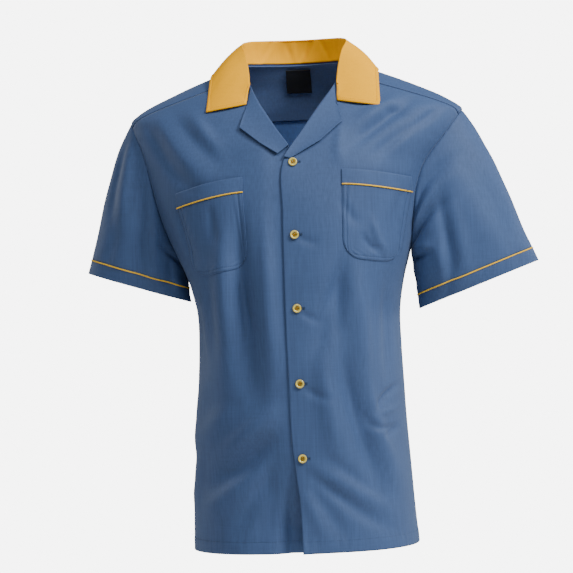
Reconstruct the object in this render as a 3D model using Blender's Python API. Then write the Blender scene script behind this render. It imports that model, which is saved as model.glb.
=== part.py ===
# Bowling shirt: short sleeves, camp collar, two piped pockets. It keeps the shape of a
# worn shirt with nobody in it. The wearer faces -Y, the wearer's left is +X, +Z is up.
# The origin is midway between the two high shoulder points, at the base of the neck.
import math

import bpy
import bmesh
import numpy as np
from mathutils import Matrix, Vector
from mathutils.bvhtree import BVHTree

CLOTH = 0.0012           # wall of one layer of cloth
DOUBLE = 0.0018          # wall of a lapel or collar leaf, two layers and their filling
SEAM_PULL = 0.00025      # each edge steps back this far from a seam
REST = 0.0009            # from the outside of a panel to what lies on it
LAPEL_REST = 0.0013      # the same under a lapel
UNDERLAP = 0.0026        # how far the right front dips to pass under the left

PIPING_RADIUS = 0.0012
BUTTON_RADIUS = 0.0067
BUTTON_THICK = 0.0026
BUTTON_HOLE = 0.0008
BUTTON_HOLE_SPREAD = 0.0016
BUTTON_X = 0.0
BUTTON_LEVELS = (-0.1596, -0.2688, -0.3787, -0.4913, -0.6029)

# Sections of the torso from the hem up: z, half width on the wearer's right and left,
# depth to the front and to the back, squareness on the right and on the left.
TORSO = np.array([
    (-0.745, 0.1815, 0.1660, 0.158, 0.150, 2.3, 2.3),
    (-0.680, 0.1795, 0.1600, 0.157, 0.147, 2.3, 2.3),
    (-0.600, 0.1715, 0.1560, 0.156, 0.143, 2.3, 2.3),
    (-0.520, 0.1670, 0.1515, 0.156, 0.140, 2.3, 2.3),
    (-0.440, 0.1640, 0.1495, 0.157, 0.139, 2.4, 2.3),
    (-0.380, 0.1660, 0.1500, 0.158, 0.141, 2.7, 2.3),
    (-0.335, 0.1740, 0.1570, 0.158, 0.144, 2.8, 2.3),
    (-0.295, 0.1900, 0.1680, 0.156, 0.147, 2.6, 2.3),
    (-0.240, 0.2150, 0.1800, 0.151, 0.147, 2.4, 2.3),
    (-0.200, 0.2300, 0.1900, 0.144, 0.144, 2.3, 2.25),
    (-0.160, 0.2420, 0.2080, 0.133, 0.139, 2.2, 2.2),
    (-0.125, 0.2510, 0.2350, 0.119, 0.131, 2.15, 2.15),
    (-0.100, 0.2570, 0.2510, 0.106, 0.124, 2.1, 2.1),
    (-0.083, 0.2560, 0.2560, 0.096, 0.119, 2.05, 2.05),
    (-0.064, 0.2320, 0.2320, 0.083, 0.112, 2.0, 2.0),
    (-0.046, 0.1950, 0.1950, 0.068, 0.105, 2.0, 2.0),
    (-0.030, 0.1570, 0.1570, 0.052, 0.097, 2.0, 2.0),
    (-0.015, 0.1180, 0.1180, 0.036, 0.087, 2.0, 2.0),
    (0.000, 0.0800, 0.0800, 0.022, 0.076, 2.0, 2.0),
    (0.012, 0.0480, 0.0480, 0.010, 0.060, 2.0, 2.0)])

# Edge of the left front, which laps over: z, x. Above -0.152 it is the roll of the lapel.
OVER_EDGE = np.array([
    (-0.745, -0.0035), (-0.673, -0.0058), (-0.625, -0.0107), (-0.585, -0.0146),
    (-0.470, -0.0170), (-0.369, -0.0180), (-0.231, -0.0174), (-0.163, -0.0163),
    (-0.152, -0.0130), (-0.135, -0.0028), (-0.115, 0.0113), (-0.092, 0.0268),
    (-0.066, 0.0450), (-0.041, 0.0625), (-0.020, 0.0720)])
# Edge of the right front, which lies under: z, x.
UNDER_EDGE = np.array([
    (-0.745, 0.0170), (-0.470, 0.0170), (-0.180, 0.0170), (-0.163, 0.0150),
    (-0.152, 0.0070), (-0.135, -0.0045), (-0.111, -0.0219), (-0.080, -0.0420),
    (-0.060, -0.0540), (-0.041, -0.0635), (-0.020, -0.0720)])

# Neck edge of the yoke: angle from the centre front in degrees, z.
NECK = np.array([(33.3, -0.020), (60.0, -0.009), (90.0, 0.000), (120.0, 0.003), (180.0, 0.004)])
YOKE_BACK_Z = -0.081     # yoke seam at the centre back
YOKE_APART = 0.0010      # between the two layers of the yoke
INSIDE_REACH = 0.45      # how far the inside layer runs out over the shoulders

# Armholes: height of the middle, half height, depth of the loop to the front and back,
# the turn round the loop at which the front shoulder seam and the back yoke seam land.
ARMHOLE = {
    -1: dict(middle=-0.2005, half=0.1175, front=0.050, back=0.056, seam=0.065, yoke=-0.115),
    1: dict(middle=-0.1890, half=0.1060, front=0.050, back=0.056, seam=0.065, yoke=-0.120)}
# Cuffs: outer end and inner end of the long axis (x, z), half depth.
CUFF = {
    -1: dict(outer=(-0.3340, -0.3140), inner=(-0.1745, -0.3640), depth=0.050),
    1: dict(outer=(0.3650, -0.3190), inner=(0.1790, -0.3870), depth=0.041)}
CUFF_BAND = 0.900        # where the cuff seam lies, as a fraction of the sleeve
SLEEVE_CLEAR = 0.0018    # extra step of the sleeve where it leaves the body at a sharp angle
SHOULDER_ROUND = 0.0075  # how far the sleeve head stands out past a straight line

# Long soft folds of a front or back: x and z of both ends, half width, depth (- is a trough),
# which half of the shirt it lies on (1 front, -1 back).
FOLDS = np.array([
    (-0.060, -0.330, -0.052, -0.560, 0.024, -0.0050, 1),
    (-0.105, -0.350, -0.095, -0.640, 0.026, 0.0035, 1),
    (0.090, -0.350, 0.125, -0.560, 0.024, -0.0050, 1),
    (0.060, -0.400, 0.085, -0.640, 0.026, 0.0035, 1),
    (-0.170, -0.090, -0.110, -0.150, 0.018, -0.0035, 1),
    (0.165, -0.085, 0.105, -0.150, 0.018, -0.0035, 1),
    (-0.090, -0.330, -0.075, -0.700, 0.030, -0.0050, -1),
    (0.030, -0.300, 0.045, -0.720, 0.032, 0.0045, -1),
    (0.110, -0.330, 0.100, -0.700, 0.028, -0.0050, -1)])

FRONT_COLUMNS = 15
LOWER_ROWS = 11
UPPER_ROWS = 9
YOKE_SIDE_COLUMNS = 3
BACK_COLUMNS = 10        # on each side of the centre
FALL_SHARES = (0.14, 0.29, 0.52, 0.76, 1.0)   # rows of the collar fall below its fold

# Pockets, outline in the front view: z of the top at the inner and outer side, x of both
# sides at the top, x of both sides at the foot, z of the foot at both sides, corner size.
POCKET = {
    -1: dict(top=(-0.1790, -0.1985), top_x=(-0.0765, -0.1800), foot_x=(-0.0715, -0.1600),
             foot=(-0.3150, -0.3290), band=0.023),
    1: dict(top=(-0.1725, -0.1855), top_x=(0.0725, 0.1745), foot_x=(0.0710, 0.1545),
            foot=(-0.3070, -0.3160), band=0.023)}
POCKET_COLUMNS = 8
POCKET_ROWS = 8

# Lapels, outer outline in the front view from the notch to the foot: x, z.
LAPEL = {
    -1: np.array([(-0.0685, -0.0670), (-0.0800, -0.1050), (-0.0480, -0.1305), (-0.0225, -0.1465)]),
    1: np.array([(0.0650, -0.0656), (0.0750, -0.1000), (0.0420, -0.1285), (-0.0040, -0.1540)])}
LAPEL_FOOT = {-1: -0.134, 1: -0.152}
GORGE_Z = -0.041

# Collar from the gorge to the centre back: share of the way, then the fold line x, y, z
# and the outer edge x, y, z, for the wearer's left. The right is its mirror image.
COLLAR = np.array([
    (0.00, 0.0660, -0.0655, -0.0385, 0.1330, -0.0820, -0.0760),
    (0.12, 0.0690, -0.0460, -0.0130, 0.1315, -0.0600, -0.0530),
    (0.25, 0.0760, -0.0260, 0.0150, 0.1300, -0.0310, -0.0240),
    (0.40, 0.0800, 0.0000, 0.0330, 0.1290, 0.0080, -0.0145),
    (0.55, 0.0735, 0.0270, 0.0400, 0.1150, 0.0430, -0.0135),
    (0.72, 0.0520, 0.0490, 0.0425, 0.0790, 0.0720, -0.0110),
    (0.86, 0.0270, 0.0600, 0.0430, 0.0400, 0.0850, -0.0080),
    (1.00, 0.0000, 0.0640, 0.0430, 0.0000, 0.0890, -0.0070)])

COLLAR_NOTCH = {1: (0.0672, -0.0835, -0.0655), -1: (-0.0708, -0.0835, -0.0665)}

LABEL_WIDTH = 0.040
LABEL_HEIGHT = 0.036
LABEL_THICK = 0.0010


def smooth(table, at):
    # Each column of the table as a smooth curve of its first column, without overshoot.
    key, rows = table[:, 0], table[:, 1:]
    at = np.clip(np.asarray(at, float), key[0], key[-1])
    step = np.diff(key)[:, None]
    slope = np.diff(rows, axis=0) / step
    tangent = np.vstack([slope[:1], (slope[:-1] * step[1:] + slope[1:] * step[:-1])
                         / (step[1:] + step[:-1]), slope[-1:]])
    tangent[1:-1][slope[:-1] * slope[1:] <= 0] = 0
    i = np.clip(np.searchsorted(key, at, side="right") - 1, 0, len(key) - 2)
    span = (key[i + 1] - key[i])[..., None]
    u = ((at - key[i]) / (key[i + 1] - key[i]))[..., None]
    return ((2 * u**3 - 3 * u**2 + 1) * rows[i] + (u**3 - 2 * u**2 + u) * span * tangent[i]
            + (3 * u**2 - 2 * u**3) * rows[i + 1] + (u**3 - u**2) * span * tangent[i + 1])


def section(z, side):
    # Half width, front depth, back depth and squareness of one side at height z.
    rows = smooth(TORSO, z)
    left = np.asarray(side) > 0
    return (np.where(left, rows[..., 1], rows[..., 0]), rows[..., 2], rows[..., 3],
            np.where(left, rows[..., 5], rows[..., 4]))


def bare(angle, z):
    # Torso without folds; the angle runs from the centre front towards the wearer's left.
    angle, z = np.broadcast_arrays(np.asarray(angle, float), np.asarray(z, float))
    s, c = np.sin(angle), np.cos(angle)
    width, front, back, n = section(z, np.where(s >= 0, 1, -1))
    x = width * np.sign(s) * np.abs(s) ** (2 / n)
    y = np.where(c > 0, -front, back) * np.abs(c) ** (2 / n)
    return np.stack([x, y, z], -1)


def outward(angle, z):
    # Unit normals of the bare torso.
    da, dz = 0.01, 0.002
    across = bare(angle + da, z) - bare(angle - da, z)
    up = bare(angle, z + dz) - bare(angle, z - dz)
    n = np.cross(across, up)
    return n / np.linalg.norm(n, axis=-1, keepdims=True)


def fold_height(p):
    # Sum of the soft troughs and ridges at points p; each is round across, fading at its ends.
    total = np.zeros(p.shape[:-1])
    for x0, z0, x1, z1, half, depth, face in FOLDS:
        ax, az = x1 - x0, z1 - z0
        long = ax * ax + az * az
        t = ((p[..., 0] - x0) * ax + (p[..., 2] - z0) * az) / long
        off = np.hypot(p[..., 0] - x0 - t * ax, p[..., 2] - z0 - t * az) / half
        ends = np.clip(1.25 * (1 - np.abs(2 * t - 1)), 0, 1)
        facing = np.clip(-face * p[..., 1] / 0.05, 0, 1)
        total += depth * np.exp(-off**2) * ends**2 * (3 - 2 * ends) * facing
    return total


def torso(angle, z):
    p = bare(angle, z)
    return p + outward(angle, z) * fold_height(p)[..., None]


def angle_at(x, z):
    # Angle of the front point of the torso at x and z.
    width, front, back, n = section(z, np.where(np.asarray(x) >= 0, 1, -1))
    s = np.clip(np.abs(x) / width, 0, 1) ** (n / 2)
    return np.sign(x) * np.arcsin(s)


def armhole(side, turn):
    # Point, angle and height on the armhole loop; turn 0 is the shoulder tip, 0.25 the front.
    hole = ARMHOLE[side]
    turn = np.asarray(turn, float)
    z = hole["middle"] + hole["half"] * np.cos(2 * np.pi * turn)
    y = np.sin(2 * np.pi * turn)
    width, front, back, n = section(z, side)
    share = np.where(y > 0, y * hole["front"] / front, -y * hole["back"] / back)
    tilt = np.arccos(np.clip(share, 0, 1) ** (n / 2))
    angle = side * np.where(y > 0, tilt, np.pi - tilt)
    return angle, z


def yoke_turn(side):
    # Turn of the armhole loop at which the back yoke seam lands, counted past the tip.
    hole = ARMHOLE[side]
    return 1 - math.acos((hole["yoke"] - hole["middle"]) / hole["half"]) / (2 * math.pi)


def shoulder_seam(side, u):
    # Angle and height of the front shoulder seam from the neck (0) to the armhole (1).
    start_angle, start_z = side * np.radians(NECK[0, 0]), NECK[0, 1]
    end_angle, end_z = armhole(side, ARMHOLE[side]["seam"])
    return start_angle + (end_angle - start_angle) * u, start_z + (end_z - start_z) * u


def yoke_seam(side, q):
    # Angle and height of the back yoke seam from the centre back (0) to the armhole (1).
    end_angle, end_z = armhole(side, yoke_turn(side))
    return (side * (np.pi - q * (np.pi - abs(float(end_angle)))),
            YOKE_BACK_Z + (end_z - YOKE_BACK_Z) * q**2)


def pull(grid, first_row=True, last_row=True, first_col=True, last_col=True):
    # Steps the chosen edges of a grid back from their seams.
    g = grid.copy()
    for wanted, edge, inner in ((first_row, np.s_[0], np.s_[1]), (last_row, np.s_[-1], np.s_[-2]),
                                (first_col, np.s_[:, 0], np.s_[:, 1]),
                                (last_col, np.s_[:, -1], np.s_[:, -2])):
        if wanted:
            way = grid[inner] - grid[edge]
            g[edge] += SEAM_PULL * way / np.linalg.norm(way, axis=-1, keepdims=True)
    return g


def grid_normals(grid, ring=False):
    # Unit normals of a grid from its own neighbours; ring joins the last column to the first.
    if ring:
        across = np.roll(grid, -1, axis=1) - np.roll(grid, 1, axis=1)
    else:
        across = np.gradient(grid, axis=1)
    n = np.cross(across, np.gradient(grid, axis=0))
    return n / np.linalg.norm(n, axis=-1, keepdims=True)


def material(name, colour, roughness, metallic=0.0):
    m = bpy.data.materials.new(name)
    m.use_nodes = True
    shader = m.node_tree.nodes["Principled BSDF"]
    shader.inputs["Base Color"].default_value = (*colour, 1)
    shader.inputs["Roughness"].default_value = roughness
    shader.inputs["Metallic"].default_value = metallic
    return m


def place(mesh, name, look, round_faces=True):
    ob = bpy.data.objects.new(name, mesh)
    shirt.objects.link(ob)
    mesh.materials.clear()
    mesh.materials.append(material(name + "_look", *LOOKS[look]))
    for face in mesh.polygons:
        face.use_smooth = round_faces
    return ob


def sheet(name, grid, normals, wall, look, ring=False):
    # Closed loft between a grid of outer points and the same grid moved in by the wall.
    rows, cols = grid.shape[:2]
    inner = grid - normals * wall
    points = np.concatenate([grid.reshape(-1, 3), inner.reshape(-1, 3)])
    at = np.arange(rows * cols).reshape(rows, cols)
    if ring:
        at = np.concatenate([at, at[:, :1]], axis=1)
    a, b, c, d = at[:-1, :-1], at[:-1, 1:], at[1:, 1:], at[1:, :-1]
    top = np.concatenate([np.stack([a, b, c], -1).reshape(-1, 3),
                          np.stack([a, c, d], -1).reshape(-1, 3)])
    shift = rows * cols
    faces = [top, top[:, ::-1] + shift]
    rims = [at[0, ::-1], at[-1]]
    if not ring:
        rims += [at[:, 0], at[::-1, -1]]
    for rim in rims:
        p, q = rim[:-1], rim[1:]
        faces += [np.stack([p, q, q + shift], -1), np.stack([p, q + shift, p + shift], -1)]
    mesh = bpy.data.meshes.new(name)
    mesh.from_pydata(points.tolist(), [], np.concatenate(faces).tolist())
    bm = bmesh.new()
    bm.from_mesh(mesh)
    bmesh.ops.recalc_face_normals(bm, faces=bm.faces)
    bm.to_mesh(mesh)
    bm.free()
    return place(mesh, name, look, round_faces=False)


def front_levels(side):
    # Inner height and outer angle and height of each row of a front, from the hem up.
    hole = ARMHOLE[side]
    pit = hole["middle"] - hole["half"]
    low = np.linspace(TORSO[0, 0], pit, LOWER_ROWS + 1)
    turns = np.linspace(0.5, hole["seam"], UPPER_ROWS + 1)[1:]
    angle, z = armhole(side, turns)
    edge = OVER_EDGE if side > 0 else UNDER_EDGE
    high = pit + (edge[-1, 0] - pit) * np.linspace(0, 1, UPPER_ROWS + 1)[1:]
    return (np.concatenate([low, high]),
            np.concatenate([np.full(len(low), side * np.pi / 2), angle]),
            np.concatenate([low, z]))


def front_grid(side):
    edge = OVER_EDGE if side > 0 else UNDER_EDGE
    z_in, angle_out, z_out = front_levels(side)
    angle_in = angle_at(smooth(edge, z_in)[:, 0], z_in)
    u = np.linspace(0, 1, FRONT_COLUMNS + 1)[None, :]
    angle = angle_in[:, None] + (angle_out - angle_in)[:, None] * u
    z = z_in[:, None] + (z_out - z_in)[:, None] * u
    angle[-1], z[-1] = shoulder_seam(side, u[0])
    return angle, z


def front(side, name):
    angle, z = front_grid(side)
    grid, normals = torso(angle, z), outward(angle, z)
    if side < 0:
        under = np.clip((grid[..., 0] + 0.050) / 0.028, 0, 1) * (grid[..., 2] < -0.12)
        grid = grid - normals * (UNDERLAP * under**2 * (3 - 2 * under))[..., None]
    grid = pull(grid, first_row=False, first_col=False)
    if side > 0:
        return sheet(name, grid, normals, CLOTH, "blue")
    return sheet(name, grid[:, ::-1], normals[:, ::-1], CLOTH, "blue")


def back():
    halves = []
    for side in (-1, 1):
        hole = ARMHOLE[side]
        pit = hole["middle"] - hole["half"]
        low = np.linspace(TORSO[0, 0], pit, LOWER_ROWS + 1)
        turns = np.linspace(0.5, yoke_turn(side), UPPER_ROWS + 1)[1:]
        angle_high, z_high = armhole(side, turns)
        z_out = np.concatenate([low, z_high])
        angle_out = np.concatenate([np.full(len(low), side * np.pi / 2), angle_high])
        z_mid = np.concatenate([np.linspace(TORSO[0, 0], -0.300, LOWER_ROWS + 1),
                                np.linspace(-0.300, YOKE_BACK_Z, UPPER_ROWS + 1)[1:]])
        q = np.linspace(0, 1, BACK_COLUMNS + 1)[None, :]
        angle = side * (np.pi - q * (np.pi - np.abs(angle_out))[:, None])
        z = z_mid[:, None] + (z_out - z_mid)[:, None] * q**2
        angle[-1], z[-1] = yoke_seam(side, q[0])
        halves.append((angle, z))
    angle = np.concatenate([halves[1][0][:, ::-1], halves[0][0][:, 1:]], axis=1)
    z = np.concatenate([halves[1][1][:, ::-1], halves[0][1][:, 1:]], axis=1)
    grid = pull(torso(angle, z), first_row=False)
    return sheet("back", grid, outward(angle, z), CLOTH, "blue")


def yoke_columns(side):
    # Inner and outer angle and height of the yoke columns from the front seam to the centre back.
    hole = ARMHOLE[side]
    turns = np.linspace(hole["seam"], yoke_turn(side) - 1, YOKE_SIDE_COLUMNS + 1)
    angle_side, z_side = armhole(side, turns)
    angle_back, z_back = yoke_seam(side, np.linspace(1, 0, BACK_COLUMNS + 1)[1:])
    angle_out = np.concatenate([angle_side, angle_back])
    z_out = np.concatenate([z_side, z_back])
    count = YOKE_SIDE_COLUMNS + BACK_COLUMNS
    share = np.linspace(0, 1, count + 1) ** 0.9
    angle_in = side * np.radians(NECK[0, 0] + (180 - NECK[0, 0]) * share)
    z_in = smooth(NECK, np.degrees(np.abs(angle_in)))[:, 0]
    return angle_in, z_in, angle_out, z_out


def yoke_grid(rows):
    sides = [yoke_columns(side) for side in (1, -1)]
    joined = [np.concatenate([a, b[::-1][1:]]) for a, b in zip(*sides)]
    joined[0][len(sides[0][0]):] += 2 * np.pi
    joined[2][len(sides[0][0]):] += 2 * np.pi
    angle_in, z_in, angle_out, z_out = joined
    s = np.linspace(0, 1, rows + 1)[:, None]
    return angle_in + (angle_out - angle_in) * s, z_in + (z_out - z_in) * s


def yoke():
    angle, z = yoke_grid(5)
    grid, normals = torso(angle, z), outward(angle, z)
    sheet("yoke_outside", pull(grid)[::-1], normals[::-1], CLOTH, "blue")
    back_share = np.clip(2.6 - 3.6 * np.abs(np.linspace(-1, 1, grid.shape[1])), 0, 1)
    row = np.arange(6.0)[:, None]
    row = row * (INSIDE_REACH + (1 - INSIDE_REACH) * back_share)
    low = np.clip(row.astype(int), 0, 4)
    col = np.arange(grid.shape[1])[None, :]
    share = (row - low)[..., None]
    inside = grid[low, col] * (1 - share) + grid[low + 1, col] * share
    across = normals[low, col] * (1 - share) + normals[low + 1, col] * share
    inside = pull(inside - across * (CLOTH + YOKE_APART))
    return sheet("yoke_inside", inside[::-1], across[::-1], CLOTH, "blue")


def armhole_turns(side):
    # Every turn at which a body piece has a point on the armhole.
    hole = ARMHOLE[side]
    seam, back_end = hole["seam"], yoke_turn(side)
    return np.concatenate([np.linspace(seam, 0.5, UPPER_ROWS + 1),
                           np.linspace(0.5, back_end, UPPER_ROWS + 1)[1:],
                           np.linspace(back_end, 1 + seam, YOKE_SIDE_COLUMNS + 1)[1:-1]])


def sleeve_surface(side, s, turns):
    # Sleeve point from the armhole (s = 0) to the cuff edge (s = 1).
    cuff = CUFF[side]
    angle, z = armhole(side, turns)
    start = torso(angle, z)
    outer, inner = np.array(cuff["outer"]), np.array(cuff["inner"])
    c, sn = np.cos(2 * np.pi * turns), np.sin(2 * np.pi * turns)
    middle, half = (outer + inner) / 2, (outer - inner) / 2
    end = np.stack([middle[0] + half[0] * c, -cuff["depth"] * sn, middle[1] + half[1] * c], -1)
    s = s[:, None, None]
    points = start + (end - start) * s
    head = SHOULDER_ROUND * 6.75 * s * (1 - s) ** 2 * np.clip(c, 0, 1)[None, :, None] ** 2
    full = 0.010 * np.sin(np.pi * s) * sn[None, :, None]
    points[..., 0:1] += side * head
    points[..., 2:3] += 0.4 * head
    points[..., 1:2] -= full
    return points


def sleeve(side, word):
    turns = armhole_turns(side)
    shares = np.array([0.0, 0.07, 0.2, 0.38, 0.56, 0.73, CUFF_BAND, 1.0])
    grid = sleeve_surface(side, shares, turns)
    if side < 0:
        grid = grid[:, ::-1]
        turns = turns[::-1]
    normals = grid_normals(grid, ring=True)
    angle, z = armhole(side, turns)
    off = grid[1] - grid[0]
    off /= np.linalg.norm(off, axis=-1, keepdims=True)
    lean = (off * outward(angle, z)).sum(-1, keepdims=True)
    share = np.clip(0.5 - 4 * lean, 0, 1)
    first = outward(angle, z) * share + normals[0] * (1 - share)
    normals[0] = first / np.linalg.norm(first, axis=-1, keepdims=True)
    grid[0] += off * np.clip(lean, 0, 1) * SLEEVE_CLEAR
    body = pull(grid[:-1], first_col=False, last_col=False)
    band = pull(grid[-2:], last_row=False, first_col=False, last_col=False)
    sheet("sleeve_" + word, body[::-1], normals[:-1][::-1], CLOTH, "blue", ring=True)
    sheet("cuff_band_" + word, band[::-1], normals[-2:][::-1], CLOTH, "blue", ring=True)
    cord = grid[-2] + normals[-2] * (PIPING_RADIUS + 0.0003)
    piping("cuff_piping_" + word, cord, closed=True)


def piping(name, points, closed=False):
    curve = bpy.data.curves.new(name, "CURVE")
    curve.dimensions = "3D"
    curve.bevel_depth = PIPING_RADIUS
    curve.bevel_resolution = 1
    curve.use_fill_caps = True
    line = curve.splines.new("POLY")
    line.points.add(len(points) - 1)
    for point, place_at in zip(line.points, points):
        point.co = (*place_at, 1)
    line.use_cyclic_u = closed
    ob = bpy.data.objects.new(name, curve)
    shirt.objects.link(ob)
    curve.materials.append(material(name + "_look", *LOOKS["yellow"]))
    return ob


def seat(points, normals, base, lift):
    # Points dropped along their normals onto the facets of a piece, then moved out by the lift.
    flat, ways = points.reshape(-1, 3), normals.reshape(-1, 3)
    tree = BVHTree.FromPolygons([v.co for v in base.data.vertices],
                                [tuple(f.vertices) for f in base.data.polygons])
    seated = flat.copy()
    for k, (point, way) in enumerate(zip(flat, ways)):
        hit = tree.ray_cast(Vector(point + 0.02 * way), Vector(-way), 0.04)[0]
        if hit is not None:
            seated[k] = hit
    return (seated.reshape(points.shape) + normals * np.asarray(lift)[..., None])


def on_front(side, x, z, lift):
    # Points of a front at x and z, moved out by the lift, and the normals there.
    angle = angle_at(x, z)
    normals = outward(angle, z)
    return seat(torso(angle, z), normals, fronts[side], lift), normals


def pocket(side, word):
    p = POCKET[side]
    u = np.linspace(0, 1, POCKET_COLUMNS + 1)[None, :]
    v = np.linspace(0, 1, POCKET_ROWS + 1)[:, None] ** 0.85
    middle = 2 * u - 1
    left = p["top_x"][0] + (p["foot_x"][0] - p["top_x"][0]) * v
    right = p["top_x"][1] + (p["foot_x"][1] - p["top_x"][1]) * v
    tuck = 0.085 * np.clip((v - 0.80) / 0.20, 0, 1) ** 2.5
    x = left + (right - left) * (u + tuck * -middle)
    top = p["top"][0] + (p["top"][1] - p["top"][0]) * u**1.3
    foot = p["foot"][0] + (p["foot"][1] - p["foot"][0]) * u + 0.012 * np.abs(middle) ** 5
    seam = top - p["band"]
    z = seam + (foot - seam) * v
    band_x = np.vstack([p["top_x"][0] + (p["top_x"][1] - p["top_x"][0]) * u, x[0]])
    band_z = np.vstack([top, seam])
    lift = CLOTH + REST
    for name, xs, zs in (("pocket_", x, z), ("pocket_band_", band_x, band_z)):
        grid, normals = on_front(side, xs, zs, np.full(xs.shape, lift))
        grid = pull(grid, first_col=False, last_col=False,
                    last_row=name != "pocket_", first_row=name == "pocket_")
        if side > 0:
            grid, normals = grid[::-1], normals[::-1]
        sheet(name + word, grid, normals, CLOTH, "blue")
    cord, _ = on_front(side, x[0], seam[0], np.full(x[0].shape, lift + PIPING_RADIUS + 0.0003))
    piping("pocket_piping_" + word, cord)


def along(points, shares):
    # Points at given shares of the length of an open line of points.
    run = np.concatenate([[0], np.cumsum(np.linalg.norm(np.diff(points, axis=0), axis=1))])
    return np.stack([np.interp(np.asarray(shares) * run[-1], run, points[:, k])
                     for k in range(points.shape[1])], -1)


def lapel(side, word):
    edge = OVER_EDGE if side > 0 else UNDER_EDGE
    rows = 9
    roll_z = np.linspace(GORGE_Z - 0.0032, LAPEL_FOOT[side], rows + 1)
    roll = np.stack([smooth(edge, roll_z)[:, 0], roll_z], -1)
    knots = np.vstack([LAPEL[side][:1], along(LAPEL[side], np.linspace(0.26, 1, rows))])
    s = np.linspace(0, 1, 5)[None, :, None]
    flat = roll[:, None] + (knots - roll)[:, None] * s
    lift = DOUBLE + LAPEL_REST + 0.0030 * (1 - s[..., 0]) ** 2 * np.ones((rows + 1, 1))
    grid, normals = on_front(side, flat[..., 0], flat[..., 1], lift)
    if side > 0:
        grid, normals = grid[::-1], normals[::-1]
    return sheet("lapel_" + word, grid, normals, DOUBLE, "blue")


def collar():
    # Stand from the neck seam up to the fold, then the fall down to the outer edge.
    half = []
    for side in (1, -1):
        angle_in, z_in, _, _ = yoke_columns(side)
        edge = OVER_EDGE if side > 0 else UNDER_EDGE
        z_low = np.linspace(GORGE_Z, NECK[0, 1], 3)[:-1]
        x_low = smooth(edge, z_low)[:, 0]
        seam = np.concatenate([torso(angle_at(x_low, z_low), z_low), torso(angle_in, z_in)])
        step = np.linalg.norm(np.diff(seam, axis=0), axis=1)
        share = np.concatenate([[0], np.cumsum(step)]) / step.sum()
        lines = smooth(COLLAR, share)
        mirror = np.array([side, 1, 1])
        fold, outer = lines[:, :3] * mirror, lines[:, 3:] * mirror
        notch = np.array(COLLAR_NOTCH[side])
        half.append((seam, fold, outer, share, notch))
    joined = []
    for k in range(3):
        joined.append(np.concatenate([half[0][k], half[1][k][::-1][1:]]))
    seam, fold, outer = joined
    share = np.concatenate([half[0][3], half[1][3][::-1][1:]])
    sides = np.concatenate([np.ones(len(half[0][3])), -np.ones(len(half[1][3]) - 1)])
    axis = np.array([0.0, 0.010, 0.0])
    inward = axis - seam
    inward[:, 2] = 0
    inward /= np.linalg.norm(inward, axis=1, keepdims=True)
    seam = seam + inward * 0.0012 + np.array([0, 0, 0.0010])
    seam[[0, -1]] += np.array([(-0.0014, -0.0045, 0.0), (0.0014, -0.0045, 0.0)])
    stand = np.array([0.0, 0.5, 1.0])[:, None, None]
    stood = seam + (fold - seam) * stand
    rows = []
    for s in FALL_SHARES:
        row = fold + (outer - fold) * s
        bulge = 0.012 * np.sin(np.pi * s) * np.clip(share * 4 + 0.3, 0, 1)
        away = -inward * 0.55 + np.array([0, 0, 0.85])
        row = row + away * bulge[:, None]
        for end, notch in ((0, half[0][4]), (-1, half[1][4])):
            front_edge = along(np.array([fold[end], notch, outer[end]]), [s])[0]
            near = np.clip(1 - share / 0.12, 0, 1) ** 2 * (sides == sides[end])
            front_edge[1] -= 0.004 * math.sin(math.pi * max(0.0, (s - 0.29) / 0.71))
            row = row + (front_edge - row[end]) * near[:, None]
        rows.append(row)
    grid = np.concatenate([stood, np.array(rows)])
    normals = -grid_normals(grid)
    return sheet("collar", grid, normals, DOUBLE, "yellow")


def button(number, level):
    # Disc with a raised rim and four holes, facing along the front.
    profile = [(0.0, 0.0010), (0.0032, 0.0011), (0.0043, 0.0021), (0.0056, BUTTON_THICK),
               (BUTTON_RADIUS, 0.0018), (BUTTON_RADIUS - 0.0006, 0.0004), (0.0050, 0.0), (0.0, 0.0)]
    bm = bmesh.new()
    ring = [bm.verts.new((r, 0, h)) for r, h in profile]
    edges = [bm.edges.new(pair) for pair in zip(ring[:-1], ring[1:])]
    bmesh.ops.spin(bm, geom=ring + edges, cent=(0, 0, 0), axis=(0, 0, 1),
                   angle=2 * math.pi, steps=24, use_duplicate=False)
    bmesh.ops.remove_doubles(bm, verts=bm.verts, dist=1e-6)
    bmesh.ops.recalc_face_normals(bm, faces=bm.faces)
    name = "button_%d" % number
    mesh = bpy.data.meshes.new(name)
    bm.to_mesh(mesh)
    bm.free()
    ob = place(mesh, name, "pearl")
    spot, normal = on_front(1, np.array(BUTTON_X), np.array(level), np.array(0.0004))
    turn = Vector(normal).to_track_quat("Z", "Y").to_matrix().to_4x4()
    ob.matrix_world = Matrix.Translation(Vector(spot)) @ turn
    bm = bmesh.new()
    for k in range(4):
        spread = math.radians(45 + 90 * k)
        at = Matrix.Translation((BUTTON_HOLE_SPREAD * math.cos(spread),
                                 BUTTON_HOLE_SPREAD * math.sin(spread), 0.001))
        bmesh.ops.create_cone(bm, cap_ends=True, segments=10, radius1=BUTTON_HOLE,
                              radius2=BUTTON_HOLE, depth=0.006, matrix=at)
    holes = bpy.data.meshes.new(name + "_holes")
    bm.to_mesh(holes)
    bm.free()
    tool = bpy.data.objects.new(name + "_holes", holes)
    tool.matrix_world = ob.matrix_world
    tool.hide_render = True
    tool.display_type = "WIRE"
    cutters.objects.link(tool)
    cut = ob.modifiers.new("holes", "BOOLEAN")
    cut.operation = "DIFFERENCE"
    cut.solver = "EXACT"
    cut.object = tool
    return ob


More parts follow.
